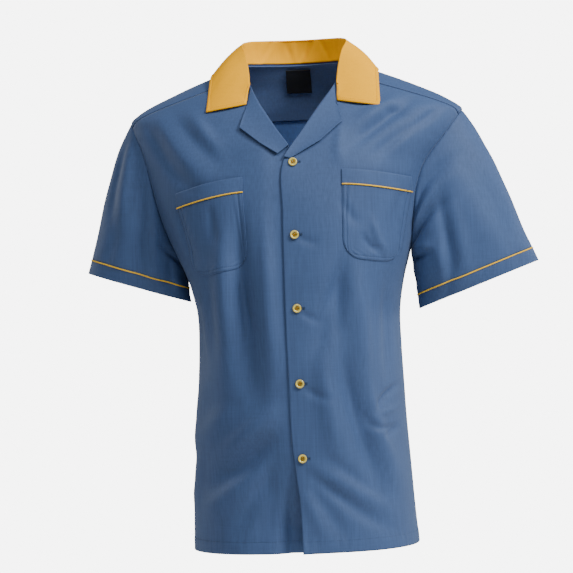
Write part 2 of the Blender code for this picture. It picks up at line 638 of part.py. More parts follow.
def label():
    # Blank label on the inside of the yoke, under the collar seam.
    x = np.linspace(-LABEL_WIDTH / 2, LABEL_WIDTH / 2, 5)[None, :]
    z = np.linspace(0.0, -LABEL_HEIGHT, 4)[:, None] - 0.0015
    x, z = np.broadcast_arrays(x, z)
    angle = np.pi - np.arcsin(np.abs(x) / section(z, 1)[0]) * np.sign(x)
    normals = outward(angle, z)
    grid = seat(torso(angle, z), -normals, inside, np.full(x.shape, 0.0004))
    return sheet("neck_label", grid, normals, LABEL_THICK, "black")


for ob in list(bpy.data.objects):
    bpy.data.objects.remove(ob, do_unlink=True)
shirt = bpy.data.collections.new("bowling_shirt")
cutters = bpy.data.collections.new("cutters")
cutters.hide_render = True
for group in (shirt, cutters):
    bpy.context.scene.collection.children.link(group)

LOOKS = {
    "blue": ((0.085, 0.185, 0.390), 0.72),
    "yellow": ((0.850, 0.480, 0.055), 0.66),
    "pearl": ((0.800, 0.640, 0.240), 0.28),
    "black": ((0.012, 0.013, 0.016), 0.80)}

fronts = {1: front(1, "front_left"), -1: front(-1, "front_right")}
back()
inside = yoke()
for hand, word in ((1, "left"), (-1, "right")):
    sleeve(hand, word)
    pocket(hand, word)
    lapel(hand, word)
collar()
for number, level in enumerate(BUTTON_LEVELS, 1):
    button(number, level)
label()
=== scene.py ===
import math

import bpy
import numpy as np
from mathutils import Matrix, Vector


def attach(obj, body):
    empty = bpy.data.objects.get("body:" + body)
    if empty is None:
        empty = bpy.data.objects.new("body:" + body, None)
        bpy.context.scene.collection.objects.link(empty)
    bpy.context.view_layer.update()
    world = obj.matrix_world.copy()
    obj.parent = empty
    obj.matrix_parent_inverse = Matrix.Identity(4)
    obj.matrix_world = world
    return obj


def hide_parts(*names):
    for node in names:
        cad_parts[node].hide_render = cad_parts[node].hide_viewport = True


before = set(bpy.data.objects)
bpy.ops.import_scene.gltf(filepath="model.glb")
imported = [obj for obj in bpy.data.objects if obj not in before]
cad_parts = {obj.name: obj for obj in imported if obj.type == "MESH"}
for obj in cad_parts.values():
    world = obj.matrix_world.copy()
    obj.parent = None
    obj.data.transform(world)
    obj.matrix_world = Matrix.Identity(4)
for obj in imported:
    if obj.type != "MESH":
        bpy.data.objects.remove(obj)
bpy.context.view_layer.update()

# the worn form of the shirt
form = {
    # from the hem up: z, half width right and left, depth front and back, squareness right and left
    "torso": [
        (-0.745, 0.1815, 0.1660, 0.158, 0.150, 2.3, 2.3), (-0.680, 0.1795, 0.1600, 0.157, 0.147, 2.3, 2.3),
        (-0.600, 0.1715, 0.1560, 0.156, 0.143, 2.3, 2.3), (-0.520, 0.1670, 0.1515, 0.156, 0.140, 2.3, 2.3),
        (-0.440, 0.1640, 0.1495, 0.157, 0.139, 2.4, 2.3), (-0.380, 0.1660, 0.1500, 0.158, 0.141, 2.7, 2.3),
        (-0.335, 0.1740, 0.1570, 0.158, 0.144, 2.8, 2.3), (-0.295, 0.1900, 0.1680, 0.156, 0.147, 2.6, 2.3),
        (-0.240, 0.2150, 0.1800, 0.151, 0.147, 2.4, 2.3), (-0.200, 0.2300, 0.1900, 0.144, 0.144, 2.3, 2.25),
        (-0.160, 0.2420, 0.2080, 0.133, 0.139, 2.2, 2.2), (-0.125, 0.2510, 0.2350, 0.119, 0.131, 2.15, 2.15),
        (-0.100, 0.2570, 0.2510, 0.106, 0.124, 2.1, 2.1), (-0.083, 0.2560, 0.2560, 0.096, 0.119, 2.05, 2.05),
        (-0.064, 0.2320, 0.2320, 0.083, 0.112, 2.0, 2.0), (-0.046, 0.1950, 0.1950, 0.068, 0.105, 2.0, 2.0),
        (-0.030, 0.1570, 0.1570, 0.052, 0.097, 2.0, 2.0), (-0.015, 0.1180, 0.1180, 0.036, 0.087, 2.0, 2.0),
        (0.000, 0.0800, 0.0800, 0.022, 0.076, 2.0, 2.0), (0.012, 0.0480, 0.0480, 0.010, 0.060, 2.0, 2.0)],
    # front edges as z, x: the left front laps over, the right front lies under it
    "overEdge": [
        (-0.745, -0.0035), (-0.673, -0.0058), (-0.625, -0.0107), (-0.585, -0.0146), (-0.470, -0.0170),
        (-0.369, -0.0180), (-0.231, -0.0174), (-0.163, -0.0163), (-0.152, -0.0130), (-0.135, -0.0028),
        (-0.115, 0.0113), (-0.092, 0.0268), (-0.066, 0.0450), (-0.041, 0.0625), (-0.020, 0.0720)],
    "underEdge": [
        (-0.745, 0.0170), (-0.470, 0.0170), (-0.180, 0.0170), (-0.163, 0.0150), (-0.152, 0.0070),
        (-0.135, -0.0045), (-0.111, -0.0219), (-0.080, -0.0420), (-0.060, -0.0540), (-0.041, -0.0635),
        (-0.020, -0.0720)],
    "underlap": 0.0026,      # the right front dips this far under the left
    "neck": [(33.3, -0.020), (60.0, -0.009), (90.0, 0.000), (120.0, 0.003), (180.0, 0.004)],  # degrees, z
    "yokeBack": -0.081,      # z of the yoke seam at the centre back
    "armhole": {
        -1: dict(middle=-0.2005, half=0.1175, front=0.050, back=0.056, seam=0.065, yoke=-0.115),
        1: dict(middle=-0.1890, half=0.1060, front=0.050, back=0.056, seam=0.065, yoke=-0.120)},
    "cloth": 0.0009,         # wall of the cloth
    "foldGain": 1.50,        # one factor on the height of every fold below
    "backGain": 1.3,         # and a further one on those of the back
    "foldShift": 0.006,      # and one step to the wearer's right
}

# Soft folds of the body: x0, z0, x1, z1, sideways bow, half width, height, lean; a minus height is
# a trough. The first list lies on the fronts, the second on the back.
frontFolds = [
    # drag lines from the shoulders towards the buttons, wearer's right
    (-0.226, -0.080, -0.135, -0.205, 0.008, 0.0110, -0.0026, 0.5),
    (-0.208, -0.070, -0.112, -0.190, 0.010, 0.0120, 0.0020, 0.3),
    (-0.188, -0.058, -0.080, -0.172, 0.010, 0.0120, -0.0018, 0.4),
    (-0.160, -0.066, -0.080, -0.148, 0.006, 0.0120, 0.0026, 0.0),
    (-0.128, -0.086, -0.070, -0.160, 0.004, 0.0110, -0.0012, 0.3),
    # the same on the wearer's left
    (0.236, -0.074, 0.116, -0.156, 0.000, 0.0100, -0.0046, -0.5),
    (0.214, -0.084, 0.140, -0.150, 0.000, 0.0110, 0.0038, -0.3),
    (0.198, -0.060, 0.080, -0.146, 0.003, 0.0110, -0.0046, -0.4),
    (0.176, -0.056, 0.096, -0.112, 0.002, 0.0120, 0.0034, 0.0),
    (0.130, -0.078, 0.190, -0.088, 0.002, 0.0080, -0.0018, 0.0),
    (0.080, -0.098, 0.076, -0.172, 0.003, 0.0080, 0.0016, 0.0),
    # wearer's right: hollows beside the button line and long hangs from the chest
    (-0.072, -0.200, -0.056, -0.540, 0.012, 0.0170, -0.0084, 0.4),
    (-0.106, -0.225, -0.112, -0.560, -0.004, 0.0180, 0.0052, 0.0),
    (-0.128, -0.300, -0.118, -0.470, 0.004, 0.0120, -0.0034, 0.3),
    (-0.038, -0.220, -0.026, -0.520, 0.004, 0.0130, 0.0036, 0.0),
    (-0.084, -0.315, -0.066, -0.430, 0.006, 0.0120, -0.0042, -0.3),
    (-0.152, -0.345, -0.138, -0.490, 0.006, 0.0100, -0.0046, 0.5),
    (-0.146, -0.480, -0.160, -0.640, 0.008, 0.0140, 0.0034, 0.0),
    # pull below the last button, wearer's right
    (-0.018, -0.520, -0.128, -0.612, 0.004, 0.0150, 0.0046, 0.0),
    (-0.020, -0.560, -0.140, -0.672, 0.003, 0.0190, -0.0078, 0.5),
    (-0.030, -0.570, -0.056, -0.780, 0.004, 0.0200, -0.0060, 0.3),
    (-0.074, -0.620, -0.150, -0.700, 0.006, 0.0170, 0.0052, 0.0),
    (-0.040, -0.612, -0.104, -0.730, 0.002, 0.0140, -0.0044, 0.3),
    (-0.096, -0.520, -0.158, -0.600, 0.004, 0.0200, 0.0044, 0.0),
    (-0.150, -0.590, -0.166, -0.690, 0.002, 0.0080, 0.0030, 0.4),
    # wearer's left: from the pocket down
    (0.074, -0.305, 0.020, -0.470, 0.000, 0.0130, -0.0044, -0.4),
    (0.098, -0.325, 0.058, -0.490, 0.004, 0.0140, 0.0040, 0.0),
    (0.076, -0.290, 0.066, -0.480, 0.003, 0.0140, -0.0066, -0.4),
    (0.064, -0.430, 0.132, -0.690, 0.008, 0.0140, -0.0068, -0.5),
    (0.102, -0.305, 0.102, -0.520, 0.002, 0.0120, 0.0050, 0.0),
    (0.102, -0.470, 0.152, -0.670, 0.006, 0.0120, 0.0046, 0.0),
    (0.140, -0.318, 0.138, -0.520, 0.000, 0.0090, -0.0040, 0.4),
    (0.040, -0.430, 0.070, -0.640, 0.006, 0.0150, 0.0042, 0.0),
    # side creases of the wearer's left
    (0.154, -0.496, 0.112, -0.552, 0.005, 0.0060, -0.0038, 0.5),
    (0.152, -0.556, 0.098, -0.530, -0.022, 0.0060, -0.0024, 0.6),
    (0.154, -0.530, 0.108, -0.520, -0.014, 0.0070, 0.0018, 0.0),
    (0.152, -0.560, 0.124, -0.580, 0.000, 0.0060, -0.0026, 0.0),
    # pull below the last button, wearer's left
    (0.006, -0.616, 0.158, -0.726, 0.004, 0.0120, -0.0034, 0.5),
    (0.010, -0.606, 0.140, -0.690, 0.002, 0.0120, 0.0022, 0.0),
    (0.010, -0.632, 0.082, -0.742, 0.002, 0.0130, -0.0026, 0.0),
    (0.036, -0.594, 0.138, -0.676, 0.000, 0.0100, -0.0018, 0.4),
    (0.006, -0.640, 0.050, -0.745, 0.002, 0.0120, 0.0020, 0.3),
    # small wrinkles on the pockets
    (-0.172, -0.215, -0.142, -0.316, 0.004, 0.0075, -0.0026, 0.4),
    (-0.120, -0.215, -0.112, -0.285, 0.003, 0.0080, -0.0018, 0.0),
    (0.122, -0.238, 0.146, -0.308, 0.006, 0.0060, 0.0026, 0.4),
    (0.106, -0.268, 0.132, -0.300, 0.004, 0.0055, -0.0022, 0.3),
    (0.076, -0.214, 0.104, -0.262, 0.003, 0.0070, -0.0014, 0.0),
    (0.168, -0.200, 0.150, -0.290, 0.003, 0.0080, -0.0022, 0.3),
    # short pulls beside the buttons and a flat press line above the hem
    (0.004, -0.2700, 0.046, -0.284, 0.002, 0.0060, -0.0012, 0.0),
    (0.004, -0.3800, 0.050, -0.402, 0.003, 0.0060, -0.0014, 0.0),
    (0.004, -0.4930, 0.060, -0.520, 0.003, 0.0070, -0.0016, 0.0)]
backFolds = [
    (-0.205, -0.120, -0.070, -0.230, 0.012, 0.0120, -0.0050, 0.4),
    (0.200, -0.125, 0.060, -0.240, -0.012, 0.0120, -0.0054, -0.4),
    (-0.185, -0.180, -0.050, -0.300, 0.010, 0.0140, 0.0040, 0.0),
    (0.178, -0.190, 0.040, -0.290, -0.010, 0.0140, 0.0036, 0.0),
    (-0.110, -0.250, -0.086, -0.700, 0.014, 0.0180, -0.0064, 0.4),
    (-0.060, -0.300, -0.040, -0.740, 0.008, 0.0200, 0.0056, 0.0),
    (-0.006, -0.220, -0.012, -0.620, -0.008, 0.0160, -0.0052, 0.3),
    (0.036, -0.330, 0.050, -0.745, -0.006, 0.0180, 0.0058, 0.0),
    (0.090, -0.260, 0.076, -0.700, -0.012, 0.0170, -0.0064, -0.4),
    (0.134, -0.350, 0.126, -0.745, 0.006, 0.0170, 0.0046, 0.0),
    (-0.148, -0.360, -0.132, -0.745, 0.006, 0.0170, 0.0046, 0.0),
    (0.150, -0.420, 0.070, -0.470, -0.010, 0.0090, -0.0044, 0.5),
    (0.148, -0.450, 0.060, -0.520, -0.012, 0.0110, 0.0038, 0.0),
    (-0.158, -0.400, -0.080, -0.455, 0.012, 0.0090, -0.0046, -0.5),
    (-0.158, -0.440, -0.070, -0.500, 0.010, 0.0110, 0.0038, 0.0),
    (0.000, -0.096, 0.002, -0.200, 0.002, 0.0110, -0.0024, 0.0)]


def table(rows):
    return np.array(rows, float)


def smoothColumns(rows, at):
    # a smooth cubic through the rows of a table, read at values of its first column
    key, rows = rows[:, 0], rows[:, 1:]
    at = np.clip(np.asarray(at, float), key[0], key[-1])
    step = np.diff(key)[:, None]
    slope = np.diff(rows, axis=0) / step
    tangent = np.vstack([slope[:1], (slope[:-1] * step[1:] + slope[1:] * step[:-1])
                         / (step[1:] + step[:-1]), slope[-1:]])
    tangent[1:-1][slope[:-1] * slope[1:] <= 0] = 0
    i = np.clip(np.searchsorted(key, at, side="right") - 1, 0, len(key) - 2)
    span = (key[i + 1] - key[i])[..., None]
    u = ((at - key[i]) / (key[i + 1] - key[i]))[..., None]
    return ((2 * u**3 - 3 * u**2 + 1) * rows[i] + (u**3 - 2 * u**2 + u) * span * tangent[i]
            + (3 * u**2 - 2 * u**3) * rows[i + 1] + (u**3 - u**2) * span * tangent[i + 1])


torsoRows, neckRows = table(form["torso"]), table(form["neck"])
edgeRows = {1: table(form["overEdge"]), -1: table(form["underEdge"])}


def section(z, side):
    # half width, depth front, depth back and squareness of one side at height z
    rows = smoothColumns(torsoRows, z)
    left = np.asarray(side) > 0
    return (np.where(left, rows[..., 1], rows[..., 0]), rows[..., 2], rows[..., 3],
            np.where(left, rows[..., 5], rows[..., 4]))


def bareTorso(angle, z):
    # a superellipse at each height: x is width times sine to the power 2 over n, y is depth
    # times cosine to the same power; angle 0 is the centre front
    angle, z = np.broadcast_arrays(np.asarray(angle, float), np.asarray(z, float))
    s, c = np.sin(angle), np.cos(angle)
    width, front, back, n = section(z, np.where(s >= 0, 1, -1))
    x = width * np.sign(s) * np.abs(s) ** (2 / n)
    y = np.where(c > 0, -front, back) * np.abs(c) ** (2 / n)
    return np.stack([x, y, z], -1)


def outward(angle, z):
    # unit normal of the torso: the cross product of its two tangents
    across = bareTorso(angle + 0.01, z) - bareTorso(angle - 0.01, z)
    up = bareTorso(angle, z + 0.002) - bareTorso(angle, z - 0.002)
    n = np.cross(across, up)
    return n / np.linalg.norm(n, axis=-1, keepdims=True)


def foldHeight(x, z, folds):
    # each fold is a bell across a bowed line, exp(-d squared), leaning to one side by its
    # lean, and faded at both ends by a smooth step
    total = np.zeros(np.shape(x))
    for x0, z0, x1, z1, bow, half, height, lean in folds:
        ax, az = x1 - x0, z1 - z0
        length = math.hypot(ax, az)
        t = ((x - x0 + form["foldShift"]) * ax + (z - z0) * az) / length**2
        d = ((x - x0 + form["foldShift"]) * az - (z - z0) * ax) / length - bow * 4 * t * (1 - t)
        d = d / (half * (0.75 + 0.5 * np.clip(t, 0, 1)))
        end = np.clip(2.2 * (0.5 - np.abs(t - 0.5)) + 0.12, 0, 1)
        total += height * np.exp(-d * d) * (1 + lean * np.tanh(d)) * end * end * (3 - 2 * end)
    return total * form["foldGain"]


def ripple(x, z, size, height, seed):
    # slow unevenness: the sum of six sine waves in seeded directions
    rng = np.random.default_rng(seed)
    x, z = np.broadcast_arrays(x, z)
    total = np.zeros(x.shape)
    for k in range(6):
        turn, phase = rng.uniform(0, 2 * np.pi, 2)
        wave = 2 * np.pi / (size * rng.uniform(0.6, 1.6))
        total += np.sin(wave * (x * math.cos(turn) + z * math.sin(turn)) + phase)
    return height * total / 6


def torso(angle, z, lift=0.0):
    # the bare torso moved out along its normal by the folds of its face, the ripple and a lift
    p = bareTorso(angle, z)
    n = outward(angle, z)
    x, y = p[..., 0], p[..., 1]
    inFront = np.clip(-y / 0.045, 0, 1)
    behind = np.clip(y / 0.045, 0, 1)
    up = np.clip((-0.030 - z) / 0.05, 0, 1)
    h = (foldHeight(x, z, frontFolds) * inFront + foldHeight(x, z, backFolds) * form["backGain"] * behind
         + ripple(x, z, 0.09, 0.0016, 3)) * up
    return p + n * (h + lift)[..., None]


def angleAt(x, z):
    # the front angle at which the torso has this x at height z
    width, front, back, n = section(z, np.where(np.asarray(x) >= 0, 1, -1))
    return np.sign(x) * np.arcsin(np.clip(np.abs(x) / width, 0, 1) ** (n / 2))


def armhole(side, turn):
    # an ellipse in side view lying on the torso; turn 0 is the shoulder tip, 0.25 the front
    hole = form["armhole"][side]
    turn = np.asarray(turn, float)
    z = hole["middle"] + hole["half"] * np.cos(2 * np.pi * turn)
    y = np.sin(2 * np.pi * turn)
    width, front, back, n = section(z, side)
    share = np.where(y > 0, y * hole["front"] / front, -y * hole["back"] / back)
    tilt = np.arccos(np.clip(share, 0, 1) ** (n / 2))
    return side * np.where(y > 0, tilt, np.pi - tilt), z


def yokeTurn(side):
    hole = form["armhole"][side]
    return 1 - math.acos((hole["yoke"] - hole["middle"]) / hole["half"]) / (2 * math.pi)


def yokeSeam(side, q):
    endAngle, endZ = armhole(side, yokeTurn(side))
    return (side * (np.pi - q * (np.pi - abs(float(endAngle)))),
            form["yokeBack"] + (endZ - form["yokeBack"]) * q**2)


def meshFrom(name, grid, ring=False, flip=False, wall=None, uv=None):
    # quads between the rows and columns of a grid of points; ring closes the columns
    rows, cols = grid.shape[:2]
    at = np.arange(rows * cols).reshape(rows, cols)
    if ring:
        at = np.concatenate([at, at[:, :1]], axis=1)
    quads = np.stack([at[:-1, :-1], at[:-1, 1:], at[1:, 1:], at[1:, :-1]], -1).reshape(-1, 4)
    if flip:
        quads = quads[:, ::-1]
    mesh = bpy.data.meshes.new(name)
    mesh.vertices.add(rows * cols)
    mesh.vertices.foreach_set("co", grid.reshape(-1).astype(np.float32))
    mesh.loops.add(quads.size)
    mesh.loops.foreach_set("vertex_index", quads.reshape(-1).astype(np.int32))
    mesh.polygons.add(len(quads))
    mesh.polygons.foreach_set("loop_start", np.arange(0, quads.size, 4, dtype=np.int32))
    mesh.polygons.foreach_set("use_smooth", np.ones(len(quads), bool))
    mesh.update(calc_edges=True)
    if uv is not None:
        layer = mesh.uv_layers.new(name="cloth")
        layer.data.foreach_set("uv", uv.reshape(-1, 2)[quads.reshape(-1)].reshape(-1).astype(np.float32))
    mesh.validate()
    ob = bpy.data.objects.new(name, mesh)
    bpy.context.scene.collection.objects.link(ob)
    if wall:
        solid = ob.modifiers.new("wall", "SOLIDIFY")
        solid.thickness, solid.offset = wall, -1
        solid.use_even_offset = False
    return ob


def lengthUv(grid):
    # cloth coordinates in metres: distance walked along the rows and along the columns
    across = np.linalg.norm(np.diff(grid, axis=1), axis=-1)
    along = np.linalg.norm(np.diff(grid, axis=0), axis=-1)
    u = np.concatenate([np.zeros((grid.shape[0], 1)), np.cumsum(across, axis=1)], axis=1)
    v = np.concatenate([np.zeros((1, grid.shape[1])), np.cumsum(along, axis=0)], axis=0)
    return np.stack([u, v], -1)


def finish(ob, look, node):
    ob.data.materials.clear()
    ob.data.materials.append(look)
    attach(ob, "root")
    if node:
        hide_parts(*([node] if isinstance(node, str) else node))
    return ob


# finishes
clothLook = {"colour": (0.047, 0.090, 0.208), "rough": 0.66, "sheen": 0.10, "sheenTint": (0.75, 0.85, 1.0),
             "gloss": 0.32, "thread": 0.00060, "weave": 0.00010, "patch": 0.09, "streak": 0.46}
liningPaintedLightLook = dict(clothLook, colour=(0.130, 0.250, 0.600))      # painted light: a copy of the blue cloth coloured about three times brighter for the back's inner face, standing in for soft light falling in at the neck
yokeInsidePaintedLightLook = dict(clothLook, colour=(0.110, 0.180, 0.380))        # painted light: a copy of the blue cloth coloured about twice as bright for the inner yoke seen down the neck, standing in for light falling in there
yellowLook = {"colour": (1.000, 0.460, 0.002), "rough": 0.70, "sheen": 0.0, "sheenTint": (1.0, 0.8, 0.4),
              "gloss": 0.05, "thread": 0.00060, "weave": 0.00009, "patch": 0.05, "streak": 0.20}
pipingLook = dict(yellowLook, colour=(0.950, 0.560, 0.030), gloss=0.3)
labelLook = dict(clothLook, colour=(0.010, 0.011, 0.014), thread=0.0003, weave=0.00006)
threadLook = dict(clothLook, colour=(0.030, 0.062, 0.135), thread=0.0002, weave=0.00005, streak=0.1)
goldLook = dict(yellowLook, colour=(0.560, 0.230, 0.004), thread=0.0002, weave=0.00005)


def clothMaterial(name, look):
    # fine woven cotton on object coordinates: thin upright slubs, a twill rib, slow unevenness of
    # colour and roughness, and a bump from ribs and slubs together
    m = bpy.data.materials.new(name)
    m.use_nodes = True
    nodes, links = m.node_tree.nodes, m.node_tree.links
    shader = nodes["Principled BSDF"]
    where = nodes.new("ShaderNodeTexCoord")

    def noise(scale, detail, stretch):
        mapping = nodes.new("ShaderNodeMapping")
        mapping.inputs["Scale"].default_value = stretch
        field = nodes.new("ShaderNodeTexNoise")
        field.inputs["Scale"].default_value = scale
        field.inputs["Detail"].default_value = detail
        links.new(where.outputs["Object"], mapping.inputs["Vector"])
        links.new(mapping.outputs["Vector"], field.inputs["Vector"])
        return field.outputs["Fac"]

    def blend(value, factor, add):
        step = nodes.new("ShaderNodeMath")
        step.operation = "MULTIPLY_ADD"
        step.inputs[1].default_value = factor
        links.new(value, step.inputs[0])
        if isinstance(add, float):
            step.inputs[2].default_value = add
        else:
            links.new(add, step.inputs[2])
        return step.outputs["Value"]

    slow = noise(11, 5, (1, 1, 1))
    streak = noise(420, 4, (1, 1, 0.035))
    weft = noise(700, 2, (0.05, 0.05, 1))
    yarn = noise(1500, 2, (1, 1, 0.25))
    ribs = nodes.new("ShaderNodeTexWave")
    ribs.bands_direction = "DIAGONAL"
    ribs.inputs["Scale"].default_value = 0.363 / look["thread"]
    ribs.inputs["Distortion"].default_value = 1.5
    ribs.inputs["Detail"].default_value = 1
    links.new(where.outputs["Object"], ribs.inputs["Vector"])
    tone = blend(slow, 2 * look["patch"], 1.0 - look["patch"] - 0.5 * look["streak"] * 1.6)
    tone = blend(streak, look["streak"], tone)
    tone = blend(weft, 0.4 * look["streak"], tone)
    tone = blend(ribs.outputs["Fac"], 0.2 * look["streak"], tone)
    tint = nodes.new("ShaderNodeMix")
    tint.data_type, tint.blend_type = "RGBA", "MULTIPLY"
    tint.inputs["Factor"].default_value = 1.0
    tint.inputs["A"].default_value = (*look["colour"], 1)
    links.new(tone, tint.inputs["B"])
    links.new(tint.outputs["Result"], shader.inputs["Base Color"])
    rough = nodes.new("ShaderNodeMapRange")
    rough.inputs["To Min"].default_value = look["rough"] - 0.07
    rough.inputs["To Max"].default_value = look["rough"] + 0.08
    links.new(slow, rough.inputs["Value"])
    links.new(rough.outputs["Result"], shader.inputs["Roughness"])
    bump = nodes.new("ShaderNodeBump")
    bump.inputs["Strength"].default_value = 0.30
    bump.inputs["Distance"].default_value = look["weave"]
    links.new(blend(ribs.outputs["Fac"], 0.5, blend(streak, 0.6, yarn)), bump.inputs["Height"])
    links.new(bump.outputs["Normal"], shader.inputs["Normal"])
    shader.inputs["Sheen Weight"].default_value = look["sheen"]
    shader.inputs["Sheen Roughness"].default_value = 0.45
    shader.inputs["Sheen Tint"].default_value = (*look["sheenTint"], 1)
    shader.inputs["Specular IOR Level"].default_value = look["gloss"]
    return m


def pearlMaterial(name):
    # polished plastic: the ramp runs from the dark dished centre to the pale rim along the
    # button's own radius, and fine noise clouds it
    m = bpy.data.materials.new(name)
    m.use_nodes = True
    nodes, links = m.node_tree.nodes, m.node_tree.links
    shader = nodes["Principled BSDF"]
    own = nodes.new("ShaderNodeUVMap")
    own.uv_map = "cloth"
    parts = nodes.new("ShaderNodeSeparateXYZ")
    where = nodes.new("ShaderNodeTexCoord")
    cloud = nodes.new("ShaderNodeTexNoise")
    cloud.inputs["Scale"].default_value = 420
    cloud.inputs["Detail"].default_value = 3
    cloud.inputs["Distortion"].default_value = 1.4
    shift = nodes.new("ShaderNodeMath")
    shift.operation = "MULTIPLY_ADD"
    shift.inputs[1].default_value = 0.22
    ramp = nodes.new("ShaderNodeValToRGB")
    stops = [(0.10, (0.19, 0.13, 0.015)), (0.56, (0.30, 0.21, 0.025)), (0.74, (0.70, 0.55, 0.09)),
             (0.96, (0.84, 0.71, 0.17)), (1.0, (0.50, 0.38, 0.07))]
    while len(ramp.color_ramp.elements) < len(stops):
        ramp.color_ramp.elements.new(0.5)
    for element, (place, colour) in zip(ramp.color_ramp.elements, stops):
        element.position, element.color = place, (*colour, 1)
    links.new(own.outputs["UV"], parts.inputs["Vector"])
    links.new(where.outputs["Object"], cloud.inputs["Vector"])
    links.new(cloud.outputs["Fac"], shift.inputs[0])
    links.new(parts.outputs["Y"], shift.inputs[2])
    links.new(shift.outputs["Value"], ramp.inputs["Fac"])
    links.new(ramp.outputs["Color"], shader.inputs["Base Color"])
    shader.inputs["Roughness"].default_value = 0.24
    shader.inputs["Coat Weight"].default_value = 0.5
    shader.inputs["Coat Roughness"].default_value = 0.1
    return m


blueTwill = clothMaterial("blueTwill", clothLook)
# the next material is a brightened copy of the blue cloth for the back's inner face: painted light
blueInsidePaintedLight = clothMaterial("blueInsidePaintedLight", liningPaintedLightLook)
# the next material is a brightened copy of the blue cloth for the inner yoke: painted light
blueYokePaintedLight = clothMaterial("blueYokePaintedLight", yokeInsidePaintedLightLook)
yellowTwill = clothMaterial("yellowTwill", yellowLook)
yellowPiping = clothMaterial("yellowPiping", pipingLook)
labelSatin = clothMaterial("labelSatin", labelLook)
threadBlue = clothMaterial("threadBlue", threadLook)
threadGold = clothMaterial("threadGold", goldLook)
pearl = pearlMaterial("pearl")
print("finishes made")

# fronts
front = {"rows": 250, "upperRows": 90, "columns": 118}
seamLook = {"dip": 0.0005, "dipWide": 0.0017, "ridge": 0.00045, "ridgeAt": 0.0055, "ridgeWide": 0.0030}


def evenTo(count, pull=0.10):
    # shares from 0 to 1, closer together at both ends: t minus pull times sine of two pi t
    t = np.linspace(0, 1, count)
    return t - pull * np.sin(2 * np.pi * t)


def walked(grid, axis):
    # metres walked along one direction of a grid from its first line
    step = np.linalg.norm(np.diff(grid, axis=axis), axis=-1)
    start = np.zeros_like(np.take(step, [0], axis=axis))
    return np.cumsum(np.concatenate([start, step], axis=axis), axis=axis)


def seamShape(d):
    # a narrow dip at the seam itself and a low ridge where the turnings lie under the cloth
    return (-seamLook["dip"] * np.exp(-(d / seamLook["dipWide"]) ** 2)
            + seamLook["ridge"] * np.exp(-((d - seamLook["ridgeAt"]) / seamLook["ridgeWide"]) ** 2))


def hemShape(d, around):
    # the turned hem stands proud of the cloth above it, and the stitching puckers it slightly
    step = 1 / (1 + np.exp((d - 0.019) / 0.0012))
    pucker = np.sin(around / 0.0021) * np.sin(around / 0.0173 + 1.0) * np.exp(-((d - 0.016) / 0.010) ** 2)
    return 0.0005 * step + 0.00030 * pucker - 0.0004 * np.exp(-((d - 0.0185) / 0.0012) ** 2)


def frontMap(side):
    # rows from the hem to the shoulder seam, columns from the front edge to the side seam and
    # armhole; angle and height run evenly between the two ends of each row
    hole = form["armhole"][side]
    pit = hole["middle"] - hole["half"]
    edge = edgeRows[side]
    low = np.linspace(torsoRows[0, 0], pit, front["rows"] - front["upperRows"])
    turns = np.linspace(0.5, hole["seam"], front["upperRows"] + 1)[1:]
    angle, z = armhole(side, turns)
    high = pit + (edge[-1, 0] - pit) * np.linspace(0, 1, front["upperRows"] + 1)[1:]
    zIn = np.concatenate([low, high])
    angleOut = np.concatenate([np.full(len(low), side * np.pi / 2), angle])
    zOut = np.concatenate([low, z])
    angleIn = angleAt(smoothColumns(edge, zIn)[:, 0], zIn)
    u = evenTo(front["columns"])[None, :]
    return (angleIn[:, None] + (angleOut - angleIn)[:, None] * u, zIn[:, None] + (zOut - zIn)[:, None] * u)


def frontPoint(side, angle, z, lift=0.0):
    # the torso, with the right front dipping under the left and swinging back below the last button
    p, n = torso(angle, z, lift=lift), outward(angle, z)
    if side < 0:
        x = p[..., 0]
        under = np.clip((x + 0.050) / 0.028, 0, 1) * np.clip((-0.11 - z) / 0.02, 0, 1)
        swing = np.clip((x + 0.064) / 0.040, 0, 1) * np.clip((-0.585 - z) / 0.12, 0, 1)
        drop = form["underlap"] * under**2 * (3 - 2 * under) + 0.023 * swing**2
        p = p - n * drop[..., None]
    else:
        flare = np.clip((0.050 - p[..., 0]) / 0.055, 0, 1) * np.clip((-0.61 - z) / 0.13, 0, 1)
        p = p + n * (0.0075 * flare**2)[..., None]
    return p, n


def makeFront(side, word):
    angle, z = frontMap(side)
    grid, n = frontPoint(side, angle, z)
    armSide = (walked(grid, 1)[:, -1:] - walked(grid, 1))
    topSide = walked(grid, 0)[-1:] - walked(grid, 0)
    fold = walked(grid, 1)
    h = seamShape(np.minimum(armSide, topSide)) + hemShape(walked(grid, 0), fold)
    h = h - 0.0006 * np.exp(-(fold / 0.0012) ** 2)
    grid = grid + n * h[..., None]
    ob = meshFrom("front" + word.title(), grid, flip=side < 0, wall=form["cloth"], uv=lengthUv(grid))
    finish(ob, blueTwill, "front_" + word)
    return ob, grid, n


frontLeft, gridLeft, normalLeft = makeFront(1, "left")
frontRight, gridRight, normalRight = makeFront(-1, "right")
print("fronts made")

# back and yoke
back = {"rows": 215, "upperRows": 75, "columns": 80, "yokeRows": 58, "sideColumns": 26}


